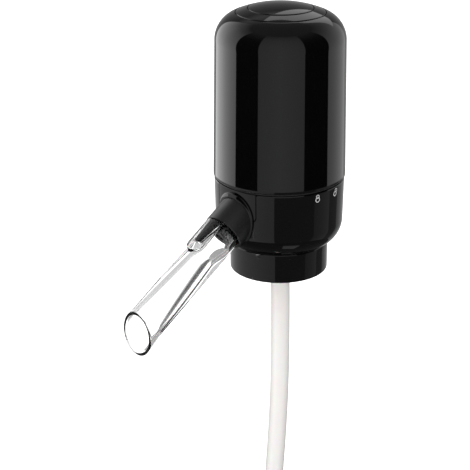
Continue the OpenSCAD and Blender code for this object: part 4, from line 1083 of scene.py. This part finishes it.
# %% World
def backdrop_share(tree):
    """1 for rays from the camera and for mirrored or refracted ones, 0 for light that falls on surfaces."""
    path = node(tree, "ShaderNodeLightPath")
    first = node(tree, "ShaderNodeMath", operation="MAXIMUM")
    second = node(tree, "ShaderNodeMath", operation="MAXIMUM")
    tree.links.new(path.outputs["Is Camera Ray"], first.inputs[0])
    tree.links.new(path.outputs["Is Glossy Ray"], first.inputs[1])
    tree.links.new(first.outputs[0], second.inputs[0])
    tree.links.new(path.outputs["Is Transmission Ray"], second.inputs[1])
    return second.outputs[0]


world = bpy.data.worlds.new("studio")
scene.world = world
world.use_nodes = True
tree = world.node_tree
background = tree.nodes["Background"]
background.inputs["Color"].default_value = (1, 1, 1, 1)
WHITE_LEVELS = {"To Min": 0.7, "To Max": 1.0}
strength = node(tree, "ShaderNodeMapRange", WHITE_LEVELS)
tree.links.new(backdrop_share(tree), strength.inputs["Value"])
tree.links.new(strength.outputs["Result"], background.inputs["Strength"])
print("the white world lights surfaces at", WHITE_LEVELS["To Min"])

# %% [markdown]
# ## The light tent
#
# A studio hangs cloth and flags round a glossy object, so that it mirrors soft bands instead of the
# room. Single cards could do this, but each would need its own place and size. Here one profile is
# turned about the body, and its glow is read from a table by angle and height. Angles are counted from
# the camera's direction to the right. Only mirrored rays see the tent, so it lights nothing.


# %% Tent surface
def tent_surface(rows, angles, shades, lean, centre_y):
    """Points, quads and glow of a profile of (reach, height) rows turned about an upright line.

    The glow is read from shades by row and angle. The last row is turned by lean degrees against the
    first."""
    steps, angle_step = 12, 0.5
    along_row = np.linspace(0, len(rows) - 1, (len(rows) - 1) * steps + 1)
    low = np.minimum(along_row.astype(int), len(rows) - 2)
    part = (along_row - low)[:, None]
    rows, shades = np.asarray(rows, float), np.asarray(shades, float)
    angle = np.arange(angles[0], angles[-1] + angle_step / 2, angle_step)
    spread = np.array([np.interp(angle, angles, shade) for shade in shades])
    glow = spread[low] * (1 - part) + spread[low + 1] * part
    profile = rows[low] * (1 - part) + rows[low + 1] * part
    shift = lean * along_row / along_row[-1]
    a = np.radians(angle[None, :] + shift[:, None]) + turn - math.pi / 2
    reach, height = profile[:, 0][:, None], profile[:, 1][:, None]
    points = np.stack(np.broadcast_arrays(reach * np.cos(a), reach * np.sin(a) + centre_y, height), -1)
    return points.reshape(-1, 3), grid_faces(len(profile), len(angle)), glow


# %% [markdown]
# ### The cloth
#
# The cloth is lit from behind, so it is a plain emission. Its strength could come from a gradient
# texture, but the strips differ in both directions. So each point of the mesh stores its glow, and one
# Attribute node hands it to the shader.


# %% Cloth
def cloth_material(name):
    """An emission whose colour is the glow stored in the mesh's points."""
    cloth = bpy.data.materials.new(name)
    cloth.use_nodes = True
    nodes, link = cloth.node_tree.nodes, cloth.node_tree.links.new
    nodes.remove(nodes["Principled BSDF"])
    table = node(cloth.node_tree, "ShaderNodeAttribute", attribute_name="glow")
    shine = nodes.new("ShaderNodeEmission")
    link(table.outputs["Color"], shine.inputs["Color"])
    link(shine.outputs[0], nodes["Material Output"].inputs["Surface"])
    return cloth


def tent_part(name, rows, angles, shades, through=False, lean=0.0, centre_y=0.0):
    """A strip of the tent, seen by mirrored rays only, or by refracted rays only if it is seen through."""
    points, quads, glow = tent_surface(rows, angles, shades, lean, centre_y)
    mesh = bpy.data.meshes.new(name)
    mesh.from_pydata(points.tolist(), [], quads.tolist())
    colours = np.repeat(glow.reshape(-1, 1), 4, 1)
    mesh.color_attributes.new("glow", "FLOAT_COLOR", "POINT").data.foreach_set("color", colours.ravel())
    mesh.materials.append(cloth_material(name))
    made = bpy.data.objects.new(name, mesh)
    scene.collection.objects.link(made)
    made.visible_camera = made.visible_diffuse = made.visible_shadow = False
    made.visible_glossy, made.visible_transmission = not through, through
    print(name, "glows up to", round(float(glow.max()), 2))


# %% [markdown]
# ### Upper cloths
#
# The casing mirrors a bright softbox on the left, a weak card in front and a softbox on the right, with
# black gaps between them. They could be separate lamps, but a lamp would also light the white hose. So
# each is a strip of the tent: its glow is a level across the strip times a share that falls with height.

# %% Upper cloths
WALL, SPLIT, TOP_Z = 0.30, -0.061, 0.60
HEIGHTS = [SPLIT, 0.10, 0.22, 0.33, 0.41, TOP_Z]


def upper_cloth(name, angles, across, upward):
    """A strip of the tent's wall whose glow is the level across it times the share at each height."""
    tent_part(name, [(WALL, z) for z in HEIGHTS], angles, np.outer(upward, across))


upper_cloth("left_softbox", [-143, -115, -78], [2.1, 2.4, 1.45], [1, 1, 0.75, 0.48, 0.28, 0.08])
upper_cloth("left_gap", [-78, -36], [1, 1], [0.004, 0.004, 0.01, 0.03, 0.085, 0.18])
upper_cloth("front_card", [-36, 0, 41], [0.49, 0.58, 0.47], [1, 1, 0.95, 0.86, 0.76, 0.45])
upper_cloth("right_gap", [41, 87], [1, 1], [0.004, 0.004, 0.01, 0.04, 0.09, 0.18])
upper_cloth("right_softbox", [87, 115, 143], [0.75, 0.9, 0.9], [1, 1, 0.8, 0.52, 0.37, 0.18])
upper_cloth("back_cloth", [143, 217], [1, 1], [0.4, 0.4, 0.22, 0.14, 0.36, 0.17])
tent_part("roof", [(WALL, TOP_Z), (0, TOP_Z)], [-180, 180], [[0.18, 0.18]] * 2)
CARD_REACH = WALL - 0.004
card_rows = [(CARD_REACH, 0.25), (CARD_REACH, 0.52)]
tent_part("crown_card", card_rows, [130, 168], [[1.3, 1.3]] * 2, lean=31.0)

# %% [markdown]
# ### Lower cloths
#
# The bowl and the collar mirror the lower wall: cloth on the left, a black gap in front and two weaker
# strips on the right. One even cloth would be simpler, but then the round of the bowl would not show.

# %% Lower cloths
LOW_Z = -0.235
lower_rows = [(WALL, LOW_Z), (WALL, SPLIT)]
floor_rows = [(0, LOW_Z), (WALL, LOW_Z)]
tent_part("low_cloth", lower_rows, [121, 150, 210, 300, 340, 352], [[0.3, 0.5, 0.72, 0.6, 0.45, 0.43]] * 2)
tent_part("low_gap", lower_rows, [-8, 63], [[0.1, 0.1]] * 2)
tent_part("low_strip", lower_rows, [63, 97], [[0.2, 0.28]] * 2)
tent_part("low_right_gap", lower_rows, [97, 121], [[0.13, 0.11]] * 2)
tent_part("low_floor", floor_rows, [-180, 180], [[0.07, 0.07]] * 2)
FLOOR_CARD_Z = LOW_Z + 0.002
tent_part("floor_card", [(0.10, FLOOR_CARD_Z), (0.19, FLOOR_CARD_Z)], [10, 50], [[0.5, 0.5]] * 2)

# %% [markdown]
# ### Flags for the clear spout
#
# Clear plastic on white shows only what it bends into view, so a photographer puts dark flags beside
# it, just out of sight. Tinting the plastic would darken all of it instead of its edges. The flags hang
# about the spout's middle, and refracted rays alone see them.

# %% Flags
SPOUT_Y, FLAG_TOP = -0.062, -0.045


def flag(name, low, high, angles, shades):
    """A strip of cloth about the spout's middle, from height low to high, for refracted rays only."""
    tent_part(name, [(WALL, low), (WALL, high)], angles, [shades] * 2, through=True, centre_y=SPOUT_Y)


flag("flag_right", LOW_Z, FLAG_TOP, [140, 147, 169, 174], [0.9, 0.06, 0.06, 0.9])
flag("flag_left", LOW_Z, FLAG_TOP, [195, 199, 230, 300, 340], [0.9, 0.35, 0.25, 0.2, 0.15])
flag("flag_back", FLAG_TOP, 0.3, [194, 200, 250], [0.95, 0.62, 0.55])
tent_part("flag_low", floor_rows, [-180, 180], [[0.35, 0.35]] * 2, through=True)

# %% [markdown]
# ## The floor
#
# The floor is white paper. Lit by the lamps alone it would turn grey away from them. So it glows at
# strength 1 for the camera and for mirrored or refracted rays, where it reads as white, and its paper
# colour takes the light and the object's soft shadow.

# %% Floor
FLOOR_Z, FLOOR_HALF = -0.24, 6
corners = [(x * FLOOR_HALF, y * FLOOR_HALF, FLOOR_Z) for x, y in ((-1, -1), (1, -1), (1, 1), (-1, 1))]
floor_mesh = bpy.data.meshes.new("floor")
floor_mesh.from_pydata(corners, [], [(0, 1, 2, 3)])
floor = bpy.data.objects.new("floor", floor_mesh)
scene.collection.objects.link(floor)
paper = bpy.data.materials.new("white_paper")
paper.use_nodes = True
tree = paper.node_tree
sheet = tree.nodes["Principled BSDF"]
sheet.inputs["Base Color"].default_value = (0.9, 0.9, 0.9, 1)
sheet.inputs["Roughness"].default_value = 1.0
sheet.inputs["Emission Color"].default_value = (1, 1, 1, 1)
tree.links.new(backdrop_share(tree), sheet.inputs["Emission Strength"])
floor_mesh.materials.append(paper)
print("the floor lies at", FLOOR_Z, "m")

# %% [markdown]
# ## The lamps
#
# The milky hose and the satin hub take their shade from lamps: a soft key in front and a soft fill from
# the right rear. A sun lamp would give hard shadows, so both are area lamps. They are hidden from
# mirrored rays, because the tent already makes the mirrored lights.


# %% Lamps
def lamp(name, place_at, target, size, watts):
    """A square area lamp at a place, turned towards a target."""
    data = bpy.data.lights.new(name, "AREA")
    data.size, data.energy = size, watts
    made = bpy.data.objects.new(name, data)
    scene.collection.objects.link(made)
    direction = Vector(target) - Vector(place_at)
    made.rotation_mode = "QUATERNION"
    made.rotation_quaternion = direction.to_track_quat("-Z", "Y")
    made.location = place_at
    made.visible_glossy = False
    return made


key = lamp("key", (-0.1, -1.0, 0.05), (0, 0, -0.1), size=0.5, watts=3.6)
fill = lamp("fill", (0.95, 0.55, 0.25), (0, 0, -0.05), size=0.5, watts=2.2)
print("two soft lamps:", key.name, "and", fill.name)
